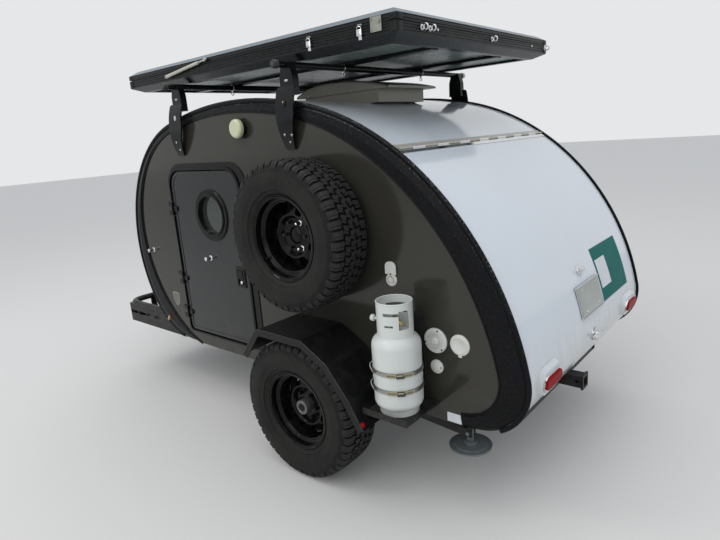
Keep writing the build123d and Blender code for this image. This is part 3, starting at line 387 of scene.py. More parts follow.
# Half of the section from the middle out, in mm. Columns: across, radius of the block tops, depth of
# the grooves, kind (0 groove, 1 block, 2 block on long lugs only), stagger in pitches, zigzag across
TREAD = np.array([
    (0.0, 362.0, 10, 1, 0.00, 0), (9.0, 362.0, 10, 1, 0.05, 0), (15.5, 361.8, 10, 1, 0.10, 3.5),
    (17.5, 361.8, 10, 0, 0.10, 3.5), (24.5, 361.6, 10, 0, 0.55, 3.5), (26.5, 361.6, 10, 1, 0.55, 3.5),
    (36.0, 361.3, 10, 1, 0.60, 0), (44.0, 361.0, 10, 1, 0.65, 0), (50.0, 360.6, 10, 1, 0.68, 3.0),
    (52.0, 360.6, 10, 0, 0.68, 3.0), (60.0, 360.2, 10, 0, 0.27, 3.0), (62.5, 360.0, 10, 1, 0.27, 3.0),
    (75.0, 358.8, 10, 1, 0.25, 0), (88.0, 357.2, 10, 1, 0.25, 0), (97.0, 355.0, 9, 1, 0.25, 0),
    (102.5, 350.5, 8, 1, 0.25, 0), (107.0, 344.0, 6.5, 1, 0.25, 0), (110.2, 337.0, 4.5, 2, 0.25, 0),
    (111.6, 331.0, 3.6, 2, 0.25, 0), (112.8, 324.0, 2.4, 0, 0.25, 0), (113.8, 316.0, 0.5, 0, 0.25, 0)])
# The rest of the section, out to the bead and back inside it. Columns: across, radius
SIDEWALL = np.array([(115.2, 306.0), (115.9, 305.2), (117.0, 292.0), (117.6, 276.0), (117.2, 262.0),
                     (116.4, 261.4), (114.6, 250.0), (111.6, 240.0), (111.9, 233.0), (110.6, 229.0),
                     (105.4, 226.5), (102.0, 221.0), (98.8, 213.5), (95.0, 209.6), (89.2, 208.6),
                     (88.6, 191.0), (80.0, 190.5), (80.0, 212.0), (104.0, 262.0), (98.0, 320.0),
                     (60.0, 346.0)])


def tyre_half():
    """Half of the tyre as arrays of pitch step by section column: across, radius, angle share, wear.

    The radius is the block top's less the groove's depth times (1 - standing), where standing is the
    pitch's column times the section's. The short lugs end where the third kind of column starts.
    """
    turns = np.tile(PITCH[:, 0], TYRE_PITCHES) + np.repeat(np.arange(TYRE_PITCHES), len(PITCH))
    stand = np.tile(PITCH[:, 1], TYRE_PITCHES)[:, None]
    long_lug = np.repeat(np.arange(TYRE_PITCHES) % 2, len(PITCH))[:, None]
    across, top, deep, kind, stagger, zigzag = TREAD.T[:, None, :]
    block = np.where(kind == 2, long_lug, kind)
    standing = stand * block
    wave = np.where(np.mod(turns, 1.0) < 0.38, 1.0, -1.0)[:, None]
    radius = top - deep * (1 - standing)
    width = across + zigzag * wave - np.where(across > 100, (1 - standing) * deep * 0.7, 0)
    share = turns[:, None] + stagger
    wear = np.where(across > 100, 0.35 + 0.4 * standing, standing)
    rest = np.ones((len(turns), 1))
    width = np.hstack([width, rest * SIDEWALL[:, 0]])
    radius = np.hstack([radius, rest * SIDEWALL[:, 1]])
    share = np.hstack([share, turns[:, None] + 0.25 + 0 * SIDEWALL[:, 0]])
    wear = np.hstack([wear, rest * np.full(len(SIDEWALL), 0.5)])
    return width, radius, share, wear


def tyre_shape(x, y, z, outward):
    """The whole section: the half, and its mirror image turned by half a pitch, wrapped both ways round."""
    width, radius, share, wear = tyre_half()
    flip = slice(None, 0, -1)
    width = np.hstack([width, -width[:, flip]])
    radius = np.hstack([radius, radius[:, flip]])
    share = np.hstack([share, share[:, flip] + 0.5])
    wear = np.hstack([wear, wear[:, flip]])
    angle = share * 2 * np.pi / TYRE_PITCHES
    points = np.stack([x + radius * 1e-3 * np.sin(angle), y + outward * width * 1e-3,
                       z + radius * 1e-3 * np.cos(angle)], -1)
    rows, cols = width.shape
    return points.reshape(-1, 3), grid_quads(rows, cols, True, True), wear.ravel()


def rubber_layers(tree, place, colour, rough):
    """Block tops are rubbed grey, the grooves stay dark, and a dry brown bloom lies in patches."""
    worn = shader_node(tree, "ShaderNodeAttribute", attribute_name="worn")
    top = ranged(tree, worn.outputs["Fac"], 0.45, 1.0, 0.0, 0.8)
    colour = tinted(tree, top, colour, (0.034, 0.034, 0.035))
    speck = ranged(tree, noise(tree, place, 170.0, 2.0, 0.5), 0.58, 0.68, 0.0, 0.5)
    colour = tinted(tree, times(tree, speck, worn.outputs["Fac"]), colour, (0.075, 0.075, 0.078))
    side = ranged(tree, worn.outputs["Fac"], 0.3, 0.5, 0.0, 1.0)
    patch = ranged(tree, noise(tree, place, 5.0, 6.0, 0.6), 0.40, 0.75, 0.10, 0.60)
    colour = tinted(tree, times(tree, side, patch), colour, (0.030, 0.027, 0.022))
    return colour, rough


tyre_rubber = finish("tyre_rubber", (0.0070, 0.0072, 0.0072), 0.55, shine=0.14, mottle=0.15, mottle_scale=12,
                     grain=500, height=0.00012, layers=rubber_layers)
for name, body, x, y, z, outward in WHEELS:
    *shape, wear = tyre_shape(x, y, z, outward)
    add_piece(name + "_tread", shape, tyre_rubber, body, [name], {"worn": wear}, 28)


# Rims: pressed steel in gloss black. Six black nuts hold each road wheel, round a grey bearing cap. Two
# bright acorn nuts hold the spare on its six studs, round a plain cap. A rubber valve stands by the lip.
NUT_CIRCLE = 0.06985
# Valves of the road wheels and of the spare, x and z from the wheel's middle
ROAD_VALVE, SPARE_VALVE = (-0.118, 0.128), (0.140, -0.108)
wheel_black = finish("wheel_black", (0.0022, 0.0023, 0.0030), 0.10, coat=0.08, shine=0.12, mottle=0.3,
                     grain=45, height=0.00006, dust=0.05, dust_scale=22)
dress(wheel_black, "rim_left", "rim_right", "spare_rim")
hub_grey = finish("hub_grey", (0.17, 0.17, 0.165), 0.36, metal=0.75, mottle=0.25, mottle_scale=30, grain=200,
                  dust=0.35)
dress(hub_grey, "hub_left", "hub_right")
chrome = finish("chrome", (0.72, 0.73, 0.74), 0.07, metal=1.0, mottle=0.08, mottle_scale=40, grain=80,
                height=0.00003, dust=0.06)
acorn = turned([(0, 0), (0.0135, 0), (0.0135, 0.002), (0.0112, 0.0035, 1), (0.0112, 0.016, 1),
                (0.0098, 0.0195), (0.0088, 0.025), (0.0062, 0.0295), (0.003, 0.0315), (0, 0.032)])
valve = turned([(0, 0), (0.0085, 0), (0.0078, 0.006), (0.0052, 0.011), (0.005, 0.026), (0.0042, 0.0265),
                (0.0042, 0.035), (0, 0.0355)], 16)
cap_ring = turned([(0, 0.052), (0.0385, 0.0), (0.0388, 0.004), (0.0388, 0.0525), (0.0365, 0.056),
                   (0.031, 0.0575), (0.027, 0.0572), (0.025, 0.054), (0, 0.054)], 40)
cap_plug = turned([(0, 0.053), (0.0215, 0.0535), (0.0205, 0.0560), (0.012, 0.0575), (0.006, 0.0568),
                   (0, 0.056)], 24)
plain_cap = turned([(0, -0.0030), (0.0405, -0.0028), (0.0400, 0.0030), (0.034, 0.0085), (0.018, 0.0115),
                    (0, 0.0125)], 32)
steps = np.arange(6) * np.pi / 3
for name, body, x, y, z, outward in WHEELS:
    spare = name == "spare_tyre"
    middle = np.array((x, y, z))
    held = steps[[2, 4]] if spare else steps
    ring = middle + NUT_CIRCLE * np.stack([np.cos(held), 0 * held, np.sin(held)], 1)
    ring = ring + (0, outward * 0.0032, 0)
    label = "spare_wheel" if spare else name.replace("tyre", "wheel")
    add_piece(label + "_nuts", placed(acorn, ring, (0, outward, 0)), chrome if spare else wheel_black,
              body)
    valve_x, valve_z = SPARE_VALVE if spare else ROAD_VALVE
    stem = middle + (valve_x, outward * 0.050, valve_z)
    add_piece(label + "_valve", placed(valve, stem, (0, outward, 0)), soft_rubber, body)
    if spare:
        add_piece("spare_cap", placed(plain_cap, middle, (0, outward, 0)), wheel_black, body)
    else:
        add_piece(label + "_cap", placed(cap_ring, middle, (0, outward, 0)), hub_grey, body)
        plug = placed(cap_plug, middle, (0, outward, 0))
        add_piece(label + "_plug", plug, soft_rubber, body)


# Body skin: pearl white glass-fibre over the roof, hatch and tail, glossy and slightly wavy. Yellow road
# grime has dried along the hatch's foot, painted shade of the bands' raised edges lies beside them, and rain
# has left pale drops.
def pearl_layers(tree, place, colour, rough):
    """Grime grows from nothing at 0.84 m to its most at the sill; painted shade of the bands' raised edges
    lies within 70 mm of them, in the grime's yellow tone.
    """
    height = component(tree, place, "Z")
    low = ranged(tree, height, 0.84, 0.50, 0.0, 1.0)
    away = shader_node(tree, "ShaderNodeMath", operation="ABSOLUTE")
    tree.links.new(component(tree, place, "Y"), away.inputs[0])
    # painted shade: low on the hatch, within 72 mm of the raised bands, darkened in the grime's yellow
    band_shade = ranged(tree, away.outputs[0], 0.700, 0.772, 0.0, 0.55)
    below = times(tree, band_shade, ranged(tree, height, 1.25, 0.75, 0.0, 1.0))
    runs = ranged(tree, noise(tree, place, 9.0, 7.0, 0.65, (1.0, 2.4, 0.6)), 0.33, 0.70)
    most = shader_node(tree, "ShaderNodeMath", operation="MAXIMUM")
    tree.links.new(low, most.inputs[0])
    tree.links.new(below, most.inputs[1])
    grime_and_band_shade = ranged(tree, times(tree, most.outputs[0], runs), 0.0, 1.0, 0.0, 0.6)
    colour = tinted(tree, grime_and_band_shade, colour, (0.40, 0.34, 0.22))
    drops = ranged(tree, noise(tree, place, 120.0, 2.0, 0.4), 0.66, 0.72, 0.0, 0.10)
    colour = tinted(tree, drops, colour, (0.50, 0.53, 0.55))
    return colour, rough


pearl = finish("pearl_white", (0.610, 0.655, 0.705), 0.13, coat=0.4, mottle=0.025, mottle_scale=3, grain=22,
               height=0.0004, dust=0.05, dust_tone=(0.5, 0.46, 0.38), layers=pearl_layers)
dress(pearl, "roof_shell", "hatch_shell", "floor_pan")


# Edge bands and panels: the bands are cast rubbery black plastic with a coarse speckle; the wall panels
# and doors are smoked aluminium under gloss, with dried rain spots and pollen. A round piping lies on
# the band's inner step, and rubber seals fill the gaps round the hatch.
# Arcs of the body's outline. Columns: centre x, centre z, radius, from and to in degrees from the top
BODY = [(0.548, -0.591, 2.49, 0.0, 14.9), (0.985126, 1.051839, 0.79, 14.9, 121.4),
        (1.249145, 0.890681, 0.480681, 121.4, 180.0), (0.548, -0.591, 2.49, -12.9, 0.0),
        (0.314927, 0.426651, 1.446, -79.1, -12.9), (-0.865434, 0.653952, 0.243952, -180.0, -79.1)]
# Arcs of the wall panel's outline, in the same columns, and the distances across of what lies along them
PANEL = [(0.606, -0.521, 2.364, 0.0, 13.6), (1.005742, 1.131334, 0.664, 13.6, 102.0),
         (0.875648, 1.158986, 0.797, 102.0, 160.011), (0.606, -0.521, 2.364, -11.4, 0.0),
         (0.421586, 0.393593, 1.431, -78.0, -11.4), (-0.804757, 0.65426, 0.17726, -180.0, -78.0)]
PIPING_Y, COPING_Y, SEAL_Y = 0.7921, 0.7846, 0.7715


def outline(arcs, angles, out=0.0):
    """Points (x, z) at angles from the top: centre + (radius + out) (sin a, cos a) of each one's arc."""
    angles = np.asarray(angles, float)
    turn = np.radians(angles)
    x, z = np.zeros_like(angles), np.zeros_like(angles)
    for cx, cz, r, low, high in arcs:
        here = (angles >= low) & (angles <= high)
        x = np.where(here, cx + (r + out) * np.sin(turn), x)
        z = np.where(here, cz + (r + out) * np.cos(turn), z)
    return x, z


def circle(radius, steps=12):
    """The outline of a circle, anticlockwise."""
    angle = np.arange(steps) * 2 * np.pi / steps
    return radius * np.stack([np.cos(angle), np.sin(angle)], 1)


def carried(path, profile, up=(0, 0, 1), closed=False):
    """A profile carried along a path: point + u side + v rise, side = along x up and rise = side x along.

    An open path's ends are drawn in to a point, which closes the shape.
    """
    path = np.asarray(path, float)
    if closed:
        along = np.roll(path, -1, 0) - np.roll(path, 1, 0)
    else:
        along = np.gradient(path, axis=0)
    along /= np.linalg.norm(along, axis=1, keepdims=True)
    side = np.cross(along, np.asarray(up, float))
    side /= np.linalg.norm(side, axis=1, keepdims=True)
    rise = np.cross(side, along)
    rows = path[:, None] + profile[:, 0:1] * side[:, None] + profile[:, 1:2] * rise[:, None]
    if not closed:
        start, end = (np.broadcast_to(p, rows[:1].shape) for p in (path[0], path[-1]))
        rows = np.concatenate([start, rows, end])
    return rows.reshape(-1, 3), grid_quads(len(rows), len(profile), closed, True)


def at_side(x, z, y):
    """Points of a side view set at a distance across the trailer."""
    return np.stack([x, np.full(len(x), y), z], 1)


def band_layers(tree, place, colour, rough):
    """A coarse cast skin with dull specks all over, and pale specks, painted highlights of wet drops, that
    thicken where it faces up.
    """
    speck = ranged(tree, noise(tree, place, 210.0, 2.0, 0.6), 0.56, 0.70, 0.0, 0.4)
    colour = tinted(tree, speck, colour, (0.022, 0.023, 0.025))
    drops = ranged(tree, noise(tree, place, 150.0, 2.0, 0.5), 0.57, 0.66)
    # painted highlight: pale specks for the sky's glints in wet drops, strongest on faces that look up
    drop_glints = times(tree, drops, facing_up(tree, 0.1, 0.03))
    return tinted(tree, drop_glints, colour, (0.20, 0.215, 0.23)), rough


def panel_layers(tree, place, colour, rough):
    """Dried drops: small pale dots, thicker toward the top, and a faint bloom low on the panel."""
    height = component(tree, place, "Z")
    high = ranged(tree, height, 0.9, 1.8, 0.25, 0.8)
    drops = ranged(tree, noise(tree, place, 150.0, 3.0, 0.5), 0.62, 0.72)
    colour = tinted(tree, times(tree, drops, high), colour, (0.080, 0.080, 0.076))
    low = times(tree, ranged(tree, height, 0.70, 0.42, 0.0, 0.5),
                ranged(tree, noise(tree, place, 12.0, 6.0), 0.4, 0.8))
    return tinted(tree, low, colour, (0.07, 0.065, 0.052)), rough


band_black = finish("band_black", (0.0035, 0.0036, 0.0042), 0.32, shine=0.12, mottle=0.3, grain=240,
                    height=0.00025, layers=band_layers)
dress(band_black, "edge_bands")
charcoal = finish("charcoal", (0.034, 0.0325, 0.0265), 0.15, metal=0.15, coat=0.15, shine=0.3, mottle=0.12,
                  mottle_scale=2.5, grain=30, height=0.00012, layers=panel_layers)
dress(charcoal, "side_panel_left", "side_panel_right")
door_grey = finish("door_grey", (0.026, 0.0270, 0.0272), 0.14, metal=0.15, coat=0.15, shine=0.3, mottle=0.12,
                   mottle_scale=3, grain=30, height=0.00012, layers=panel_layers)
dress(door_grey, "door_left", "door_right")
trim_black = finish("trim_black", (0.0035, 0.0035, 0.0042), 0.20, coat=0.05, shine=0.18, grain=200,
                    height=0.00008, dust=0.05)
tail_x, tail_z = outline(PANEL, np.linspace(-180, 160, 340), 0.0065)
tail_x, tail_z = np.r_[[-0.8113, -0.8113], tail_x], np.r_[[0.4125, 0.440], tail_z]
for side_name, s in (("left", 1), ("right", -1)):
    piping = carried(at_side(tail_x, tail_z, s * PIPING_Y), circle(0.0026, 8), (0, 1, 0))
    add_piece("panel_piping_" + side_name, piping, trim_black)
# Half-round coping in the bands' plastic, 10 mm proud along each band's crest from sill to sill.
crest_turn = np.radians(np.linspace(200, -20, 13))
crest = np.stack([0.0120 * np.cos(crest_turn), 0.0105 * np.sin(crest_turn)], 1)
crest = np.concatenate([crest, [(0.0105, -0.006), (-0.0105, -0.006)]])
crest_x, crest_z = outline(BODY, np.linspace(-150, 165, 421))
copings = [carried(at_side(crest_x, crest_z, s * COPING_Y), crest, (0, s, 0)) for s in (1, -1)]
add_piece("band_copings", joined(*copings), band_black)
seal_x, seal_z = outline(BODY, np.linspace(-121.5, -35.4, 120), -0.007)
foot_x, foot_z = outline(BODY, [-122.5], -0.005)
foot_line = np.stack([np.full(9, foot_x[0]), np.linspace(-0.764, 0.764, 9), np.full(9, foot_z[0])], 1)
seals = [carried(at_side(seal_x, seal_z, s * SEAL_Y), circle(0.0021, 8), (0, 1, 0)) for s in (1, -1)]
seals.append(carried(foot_line, circle(0.0022, 8)))
add_piece("hatch_seals", joined(*seals), soft_rubber)


# Doors: a gloss black moulded frame, three strap hinges with steel screws, a round window in a black
# beaded ring, a recessed latch with a small bright key barrel, and chrome hold-backs.
WALL_FACE, SCREW_CIRCLE = 0.787, 0.1425
# Places on the wall, x and z: the window, the hold-backs on door and wall, the key barrel
PORTHOLE, DOOR_CATCH, WALL_CATCH, KEY = (0.856, 1.281), (0.925, 1.015), (1.592, 1.015), (0.638, 0.892)
HINGE_ZS = (0.620, 0.853, 1.310)
# Screws of the hinges. Columns: on the door, x of two rows, distance across, half of the pair's spacing
HINGE_SCREWS = [(True, (1.219, 1.234), 0.796, 0.008), (False, (1.273, 1.292), 0.797, 0.029)]
dress(trim_black, "door_frames", "window_ring_left", "window_ring_right", "door_hardware_left",
      "door_hardware_right", "wall_fittings")
smoked_glass = finish("smoked_glass", (0.10, 0.125, 0.11), 0.04, coat=0.3, mottle=0.05, height=0)
smoked_glass.node_tree.nodes["Principled BSDF"].inputs["Transmission Weight"].default_value = 0.75
dress(smoked_glass, "window_glass_left", "window_glass_right")
dark_steel = finish("dark_steel", (0.060, 0.061, 0.060), 0.30, metal=0.6, mottle=0.2, grain=120,
                    height=0.00004)


def hoop(radius, thick, steps=72, section=10):
    """A ring of round section: (radius + t cos b)(cos a, sin a), height t sin b."""
    a = (np.arange(steps) * 2 * np.pi / steps)[:, None]
    b = (np.arange(section) * 2 * np.pi / section)[None, :]
    r = radius + thick * np.cos(b)
    points = np.stack([r * np.cos(a), r * np.sin(a), thick * np.sin(b) + 0 * a], -1)
    return points.reshape(-1, 3), grid_quads(steps, section, True, True)


def screw(radius):
    """A pan head with a shallow recess in its top."""
    r = radius
    return turned([(0, 0), (r, 0), (r * 0.96, r * 0.3), (r * 0.7, r * 0.5), (r * 0.34, r * 0.55),
                   (r * 0.28, r * 0.3), (0, r * 0.28)], 16)


def on_wall(spot, y):
    """A spot (x, z) of a wall set at a distance across."""
    return (spot[0], y, spot[1])


def ring_of(spot, radius, angles, y):
    """Places round a spot (x, z) of a wall: x + r cos a and z + r sin a."""
    return [(spot[0] + radius * math.cos(a), y, spot[1] + radius * math.sin(a)) for a in angles]


ring_turn = np.arange(8) * np.pi / 4 + 0.39
hold_back = turned([(0, 0.0002), (0.0165, 0.0002), (0.0165, 0.003), (0.0105, 0.006), (0.0095, 0.010),
                    (0.0095, 0.022), (0.0125, 0.026), (0.0135, 0.033), (0.0125, 0.040), (0.0095, 0.0425),
                    (0, 0.043)])
key_barrel = turned([(0, 0), (0.0095, 0), (0.0095, 0.006), (0.0078, 0.0078), (0.004, 0.0078),
                     (0.0035, 0.0060), (0, 0.0060)])
for side_name, s in (("left", 1), ("right", -1)):
    out = (0, s, 0)
    door_body = "door_" + side_name
    add_piece("porthole_bead_" + side_name, joined(
        placed(hoop(0.1205, 0.0030), on_wall(PORTHOLE, s * 0.8000), out),
        placed(hoop(0.1530, 0.0022), on_wall(PORTHOLE, s * 0.7930), out),
        placed(screw(0.0042), ring_of(PORTHOLE, SCREW_CIRCLE, ring_turn, s * 0.7955), out),
    ), trim_black, door_body)
    for on_door, xs, y, gap in HINGE_SCREWS:
        spots = [(x, s * y, z + dz) for x in xs for z in HINGE_ZS for dz in (-gap, gap)]
        screws_name = ("door_screws_" if on_door else "hinge_screws_") + side_name
        screws_body = door_body if on_door else "trailer"
        add_piece(screws_name, placed(screw(0.0036), spots, out), dark_steel, screws_body)
    add_piece("door_catch_" + side_name, joined(
        placed(hold_back, on_wall(DOOR_CATCH, s * WALL_FACE), out),
        placed(key_barrel, on_wall(KEY, s * 0.7908), out),
    ), chrome, door_body)
    wall_catch = placed(hold_back, on_wall(WALL_CATCH, s * WALL_FACE), out)
    add_piece("wall_catch_" + side_name, wall_catch, chrome)


# Porch lights and ports: a cream dome in a black collar on each wall, and on the left the white inlet
# with its pins, the fill dish with three screws and a cap, a blanking cap and a small vent.
def rounded(width, height, radius, steps=5):
    """The outline of a rectangle with round corners, anticlockwise."""
    quarter = np.linspace(0, np.pi / 2, steps)
    turn = np.concatenate([quarter + k * np.pi / 2 for k in range(4)])
    cx = np.repeat([1, -1, -1, 1], steps) * (width / 2 - radius)
    cy = np.repeat([1, 1, -1, -1], steps) * (height / 2 - radius)
    return np.stack([cx + radius * np.cos(turn), cy + radius * np.sin(turn)], 1)


def raised(shape_line, levels):
    """A plate on a closed outline: one loop a level of (height, how far it grows along its normals)."""
    flow = np.roll(shape_line, -1, 0) - np.roll(shape_line, 1, 0)
    out = np.stack([flow[:, 1], -flow[:, 0]], 1)
    out /= np.linalg.norm(out, axis=1, keepdims=True)
    rows = [np.column_stack([shape_line + out * grow, np.full(len(out), height)]) for height, grow in levels]
    middle = np.array([(*shape_line.mean(0), h) for h in (levels[0][0], levels[-1][0])])
    first, last = (np.repeat(m[None], len(out), 0) for m in middle)
    rows = np.stack([first, *rows, last])
    return rows.reshape(-1, 3), grid_quads(len(rows), len(out), wrap_cols=True)


# Places on the walls, x and z
INLET, FILL_DISH, VENT, BLANK_CAP = (-0.464, 1.038), (-0.687, 0.789), (-0.689, 0.667), (-0.807, 0.790)
PORCH_LIGHT = (0.482, 0.8065, 1.760)
PIN_CIRCLE, DISH_CIRCLE = 0.0155, 0.0495
lamp_cream = finish("lamp_cream", (0.52, 0.54, 0.35), 0.22, coat=0.5, mottle=0.08, grain=60, height=0.00006,
                    dust=0.12)
dress(lamp_cream, "porch_lights")
port_white = finish("port_white", (0.60, 0.61, 0.57), 0.32, coat=0.15, mottle=0.06, grain=140,
                    height=0.00006, dust=0.22, dust_tone=(0.40, 0.35, 0.26))
dress(port_white, "wall_ports")
collar = hoop(0.0485, 0.0055, 48)
add_piece("porch_collars", placed(collar, *both_sides(PORCH_LIGHT)), trim_black)
brass = finish("brass", (0.50, 0.36, 0.14), 0.28, metal=0.95, mottle=0.15, mottle_scale=50, grain=200,
               height=0.00005)
pin = turned([(0, 0), (0.0024, 0), (0.0024, 0.004), (0.0014, 0.0052), (0, 0.0054)], 12)
pin_turn = np.array((90, 210, 330)) * np.pi / 180
pin_places = ring_of(INLET, PIN_CIRCLE, pin_turn, 0.7901)
add_piece("inlet_pins", placed(pin, pin_places, (0, 1, 0)), brass)
dark_screws = ring_of(FILL_DISH, DISH_CIRCLE, pin_turn + 0.3, 0.798)
dark_screws += [(-0.712, 0.797, VENT[1]), (INLET[0], 0.796, 1.0665)]
add_piece("port_screws", placed(screw(0.0042), dark_screws, (0, 1, 0)), trim_black)
fill_cap = turned([(0, 0), (0.0155, 0), (0.0155, 0.004), (0.013, 0.0065), (0, 0.0072)], 24)
small_dome = turned([(0, 0), (0.024, 0), (0.0225, 0.003), (0.016, 0.0055), (0, 0.0066)], 28)
cap_face = turned([(0, 0), (0.038, 0), (0.037, 0.0022), (0.034, 0.003), (0.0325, 0.0018), (0, 0.0022)], 36)
pull_tab = raised(rounded(0.018, 0.011, 0.004), [(0, 0), (0.004, 0), (0.005, -0.001)])
add_piece("port_caps", joined(
    placed(fill_cap, on_wall(FILL_DISH, 0.798), (0, 1, 0)),
    placed(small_dome, on_wall(VENT, 0.797), (0, 1, 0)),
    placed(cap_face, on_wall(BLANK_CAP, 0.796), (0, 1, 0)),
    placed(pull_tab, (BLANK_CAP[0], 0.7875, 0.7395), (0, 1, 0)),
), port_white)


# Wall plates and markers: a plain shield plate in a metal rim low at the left wall's front, and a plain
# white film label at its rear corner. Amber marker lamps stand on the bands' lower front corners.
BADGE, BLANK_LABEL, MARKER = (1.394, 0.7871, 0.690), (-0.7675, 0.7871, 0.4362), (1.519, 0.7915, 0.532)
MARKER_TURN = 0.75
shield_line = np.array([(0.0, -0.052), (0.024, -0.036), (0.038, -0.012), (0.040, 0.040), (0.020, 0.044),
                        (0.0, 0.048), (-0.020, 0.044), (-0.040, 0.040), (-0.038, -0.012), (-0.024, -0.036)])
shield_edge = finish("shield_edge", (0.30, 0.29, 0.24), 0.3, metal=0.5, mottle=0.1, grain=100, height=0.00005)
shield_face = finish("shield_face", (0.115, 0.118, 0.095), 0.35, mottle=0.15, mottle_scale=30, grain=100,
                     height=0.00004)
label_white = finish("label_white", (0.62, 0.65, 0.68), 0.42, mottle=0.06, mottle_scale=30, grain=300,
                     height=0.00003, dust=0.2)
amber_lens = finish("amber_lens", (0.42, 0.16, 0.02), 0.15, coat=0.8, mottle=0.12, mottle_scale=60,
                    grain=160, height=0.0002)
shield_rim = raised(shield_line, [(0, 0), (0.0012, 0), (0.0016, -0.001)])
shield_plate = raised(shield_line * 0.86, [(0.0012, 0), (0.0021, -0.0003)])
label_film = raised(rounded(0.072, 0.044, 0.003), [(0, 0), (0.0005, 0)])
add_piece("badge_rim", placed(shield_rim, BADGE, (0, 1, 0)), shield_edge)
add_piece("badge_face", placed(shield_plate, BADGE, (0, 1, 0)), shield_face)
add_piece("blank_label", placed(label_film, BLANK_LABEL, (0, 1, 0)), label_white)
marker_base = raised(rounded(0.062, 0.030, 0.0149, 8), [(-0.004, 0), (0.003, 0), (0.004, -0.002)])
marker_lens = raised(rounded(0.052, 0.022, 0.0109, 8), [(0.002, 0), (0.008, -0.0006), (0.0115, -0.004)])
spots = both_sides(MARKER)[0]
tilts = [(0.10, s, -0.14) for s in (1, -1)]
add_piece("marker_bases", placed(marker_base, spots, tilts, MARKER_TURN), trim_black)
add_piece("marker_lenses", placed(marker_lens, spots, tilts, MARKER_TURN), amber_lens)


# Hatch fittings: an extruded aluminium hinge, the tail lamps' red lenses in chrome collars, a blank
# number plate in its carrier, a chrome plate lamp and T handle, and a plain teal decal with a pale inset.
hinge_alloy = finish("hinge_alloy", (0.43, 0.42, 0.37), 0.36, metal=0.35, mottle=0.15, mottle_scale=8,
                     stretch=(1, 0.08, 1), grain=220, height=0.00008, dust=0.15)
dress(hinge_alloy, "hatch_hinge")
dress(chrome, "hatch_hardware")
# Height and distance across of the plate and its lamp, the bolts' places from the plate's middle, the
# handle's height and half length, and the hatch's span of angles
PLATE, PLATE_LAMP, PLATE_BOLT_Y, PLATE_BOLT_Z = (0.823, -0.016), (0.958, 0.018), 0.089, 0.056
HANDLE_Z, HANDLE_HALF = 0.638, 0.053
HATCH_ANGLES = np.linspace(-121, -36, 3401)


def lens_layers(tree, place, colour, rough):
    """Fine upright stripes of painted light and shade darken and lighten the red where the moulded prisms
    run.
    """
    prism_light_band = noise(tree, place, 26.0, 1.0, 0.3, (0.2, 9.0, 0.2))
    # painted light and shade: upright stripes of paler red stand for the prisms' bright and dark bands
    return tinted(tree, ranged(tree, prism_light_band, 0.35, 0.65, 0.0, 0.8), colour, (0.34, 0.014, 0.016)), rough


red_lens = finish("red_lens", (0.21, 0.005, 0.006), 0.24, shine=0.02, mottle=0.12, grain=70, height=0.00002,
                  stretch=(0.3, 4, 0.3), layers=lens_layers)
dress(red_lens, "tail_lights")


def on_hatch(z, y, out=0.0):
    """The place and the outward normal on the hatch's outside at a height and a distance across."""
    heights = outline(BODY, HATCH_ANGLES)[1]
    best = np.argmin(np.abs(heights - z))
    turn = math.radians(HATCH_ANGLES[best])
    x, h = outline(BODY, HATCH_ANGLES[best:best + 1], out)
    return (x[0], y, h[0]), (math.sin(turn), 0, math.cos(turn))


def decal(y_span, z_span, out, thick=0.0004, rows=25):
    """A patch of film that follows the hatch: rows along its height, columns across, closed at its rim."""
    span = np.linspace(*np.interp(z_span, outline(BODY, HATCH_ANGLES)[1], HATCH_ANGLES), rows)
    across = np.array([y_span[0], y_span[0], y_span[1], y_span[1]])
    lift = np.array([out - thick, out, out, out - thick])
    xs, zs = zip(*(outline(BODY, span, o) for o in lift))
    points = np.stack([np.stack(xs, 1), np.broadcast_to(across, (rows, 4)), np.stack(zs, 1)], -1)
    points = np.concatenate([points[:1], points, points[-1:]])
    points[0] = points[1].mean(0)
    points[-1] = points[-2].mean(0)
    return points.reshape(-1, 3), grid_quads(rows + 2, 4, wrap_cols=True)


teal = finish("teal_film", (0.006, 0.125, 0.112), 0.42, shine=0.05, mottle=0.10, mottle_scale=5, grain=60,
              height=0.00003, dust=0.03)
plate_white = finish("plate_white", (0.36, 0.385, 0.36), 0.40, mottle=0.14, mottle_scale=22, grain=180,
                     height=0.00005, dust=0.25, dust_scale=40)
patch = decal((-0.2, -0.617), (0.745, 1.016), 0.0006)
inset = decal((-0.220, -0.370), (0.8105, 0.955), 0.0010, 0.0006)
add_piece("teal_decal", patch, teal, "hatch")
add_piece("decal_inset", inset, label_white, "hatch")
place, normal = on_hatch(*PLATE, 0.0071)
plate_shape = raised(rounded(0.298, 0.143, 0.008), [(0, 0), (0.0012, 0), (0.0022, -0.0008), (0.0022, -0.003),
                                                    (0.0013, -0.005)])
add_piece("number_plate", placed(plate_shape, place, normal), plate_white, "hatch")
rise = np.cross(normal, np.cross((0, 0, 1), normal))
plate_bolts = [np.array(place) + (0, y, 0) + rise * h for y in (-PLATE_BOLT_Y, PLATE_BOLT_Y)
               for h in (PLATE_BOLT_Z, -PLATE_BOLT_Z)]
plate_bolts = np.array(plate_bolts) + np.array(normal) * 0.0012
add_piece("plate_bolts", placed(bolt(0.0042, 0.0045), plate_bolts, normal), chrome, "hatch")
hood = turned([(0, -0.0235), (0.0112, -0.0235), (0.0122, -0.021), (0.0122, 0.021), (0.0112, 0.0235),
               (0, 0.0235)], 20)
lamp_dish = turned([(0, 0), (0.0268, 0), (0.0262, 0.002), (0.020, 0.0042), (0, 0.0045)], 28)
lamp_place, lamp_normal = on_hatch(*PLATE_LAMP, 0.0142)
lamp_rise = np.cross(lamp_normal, np.cross((0, 0, 1), lamp_normal))
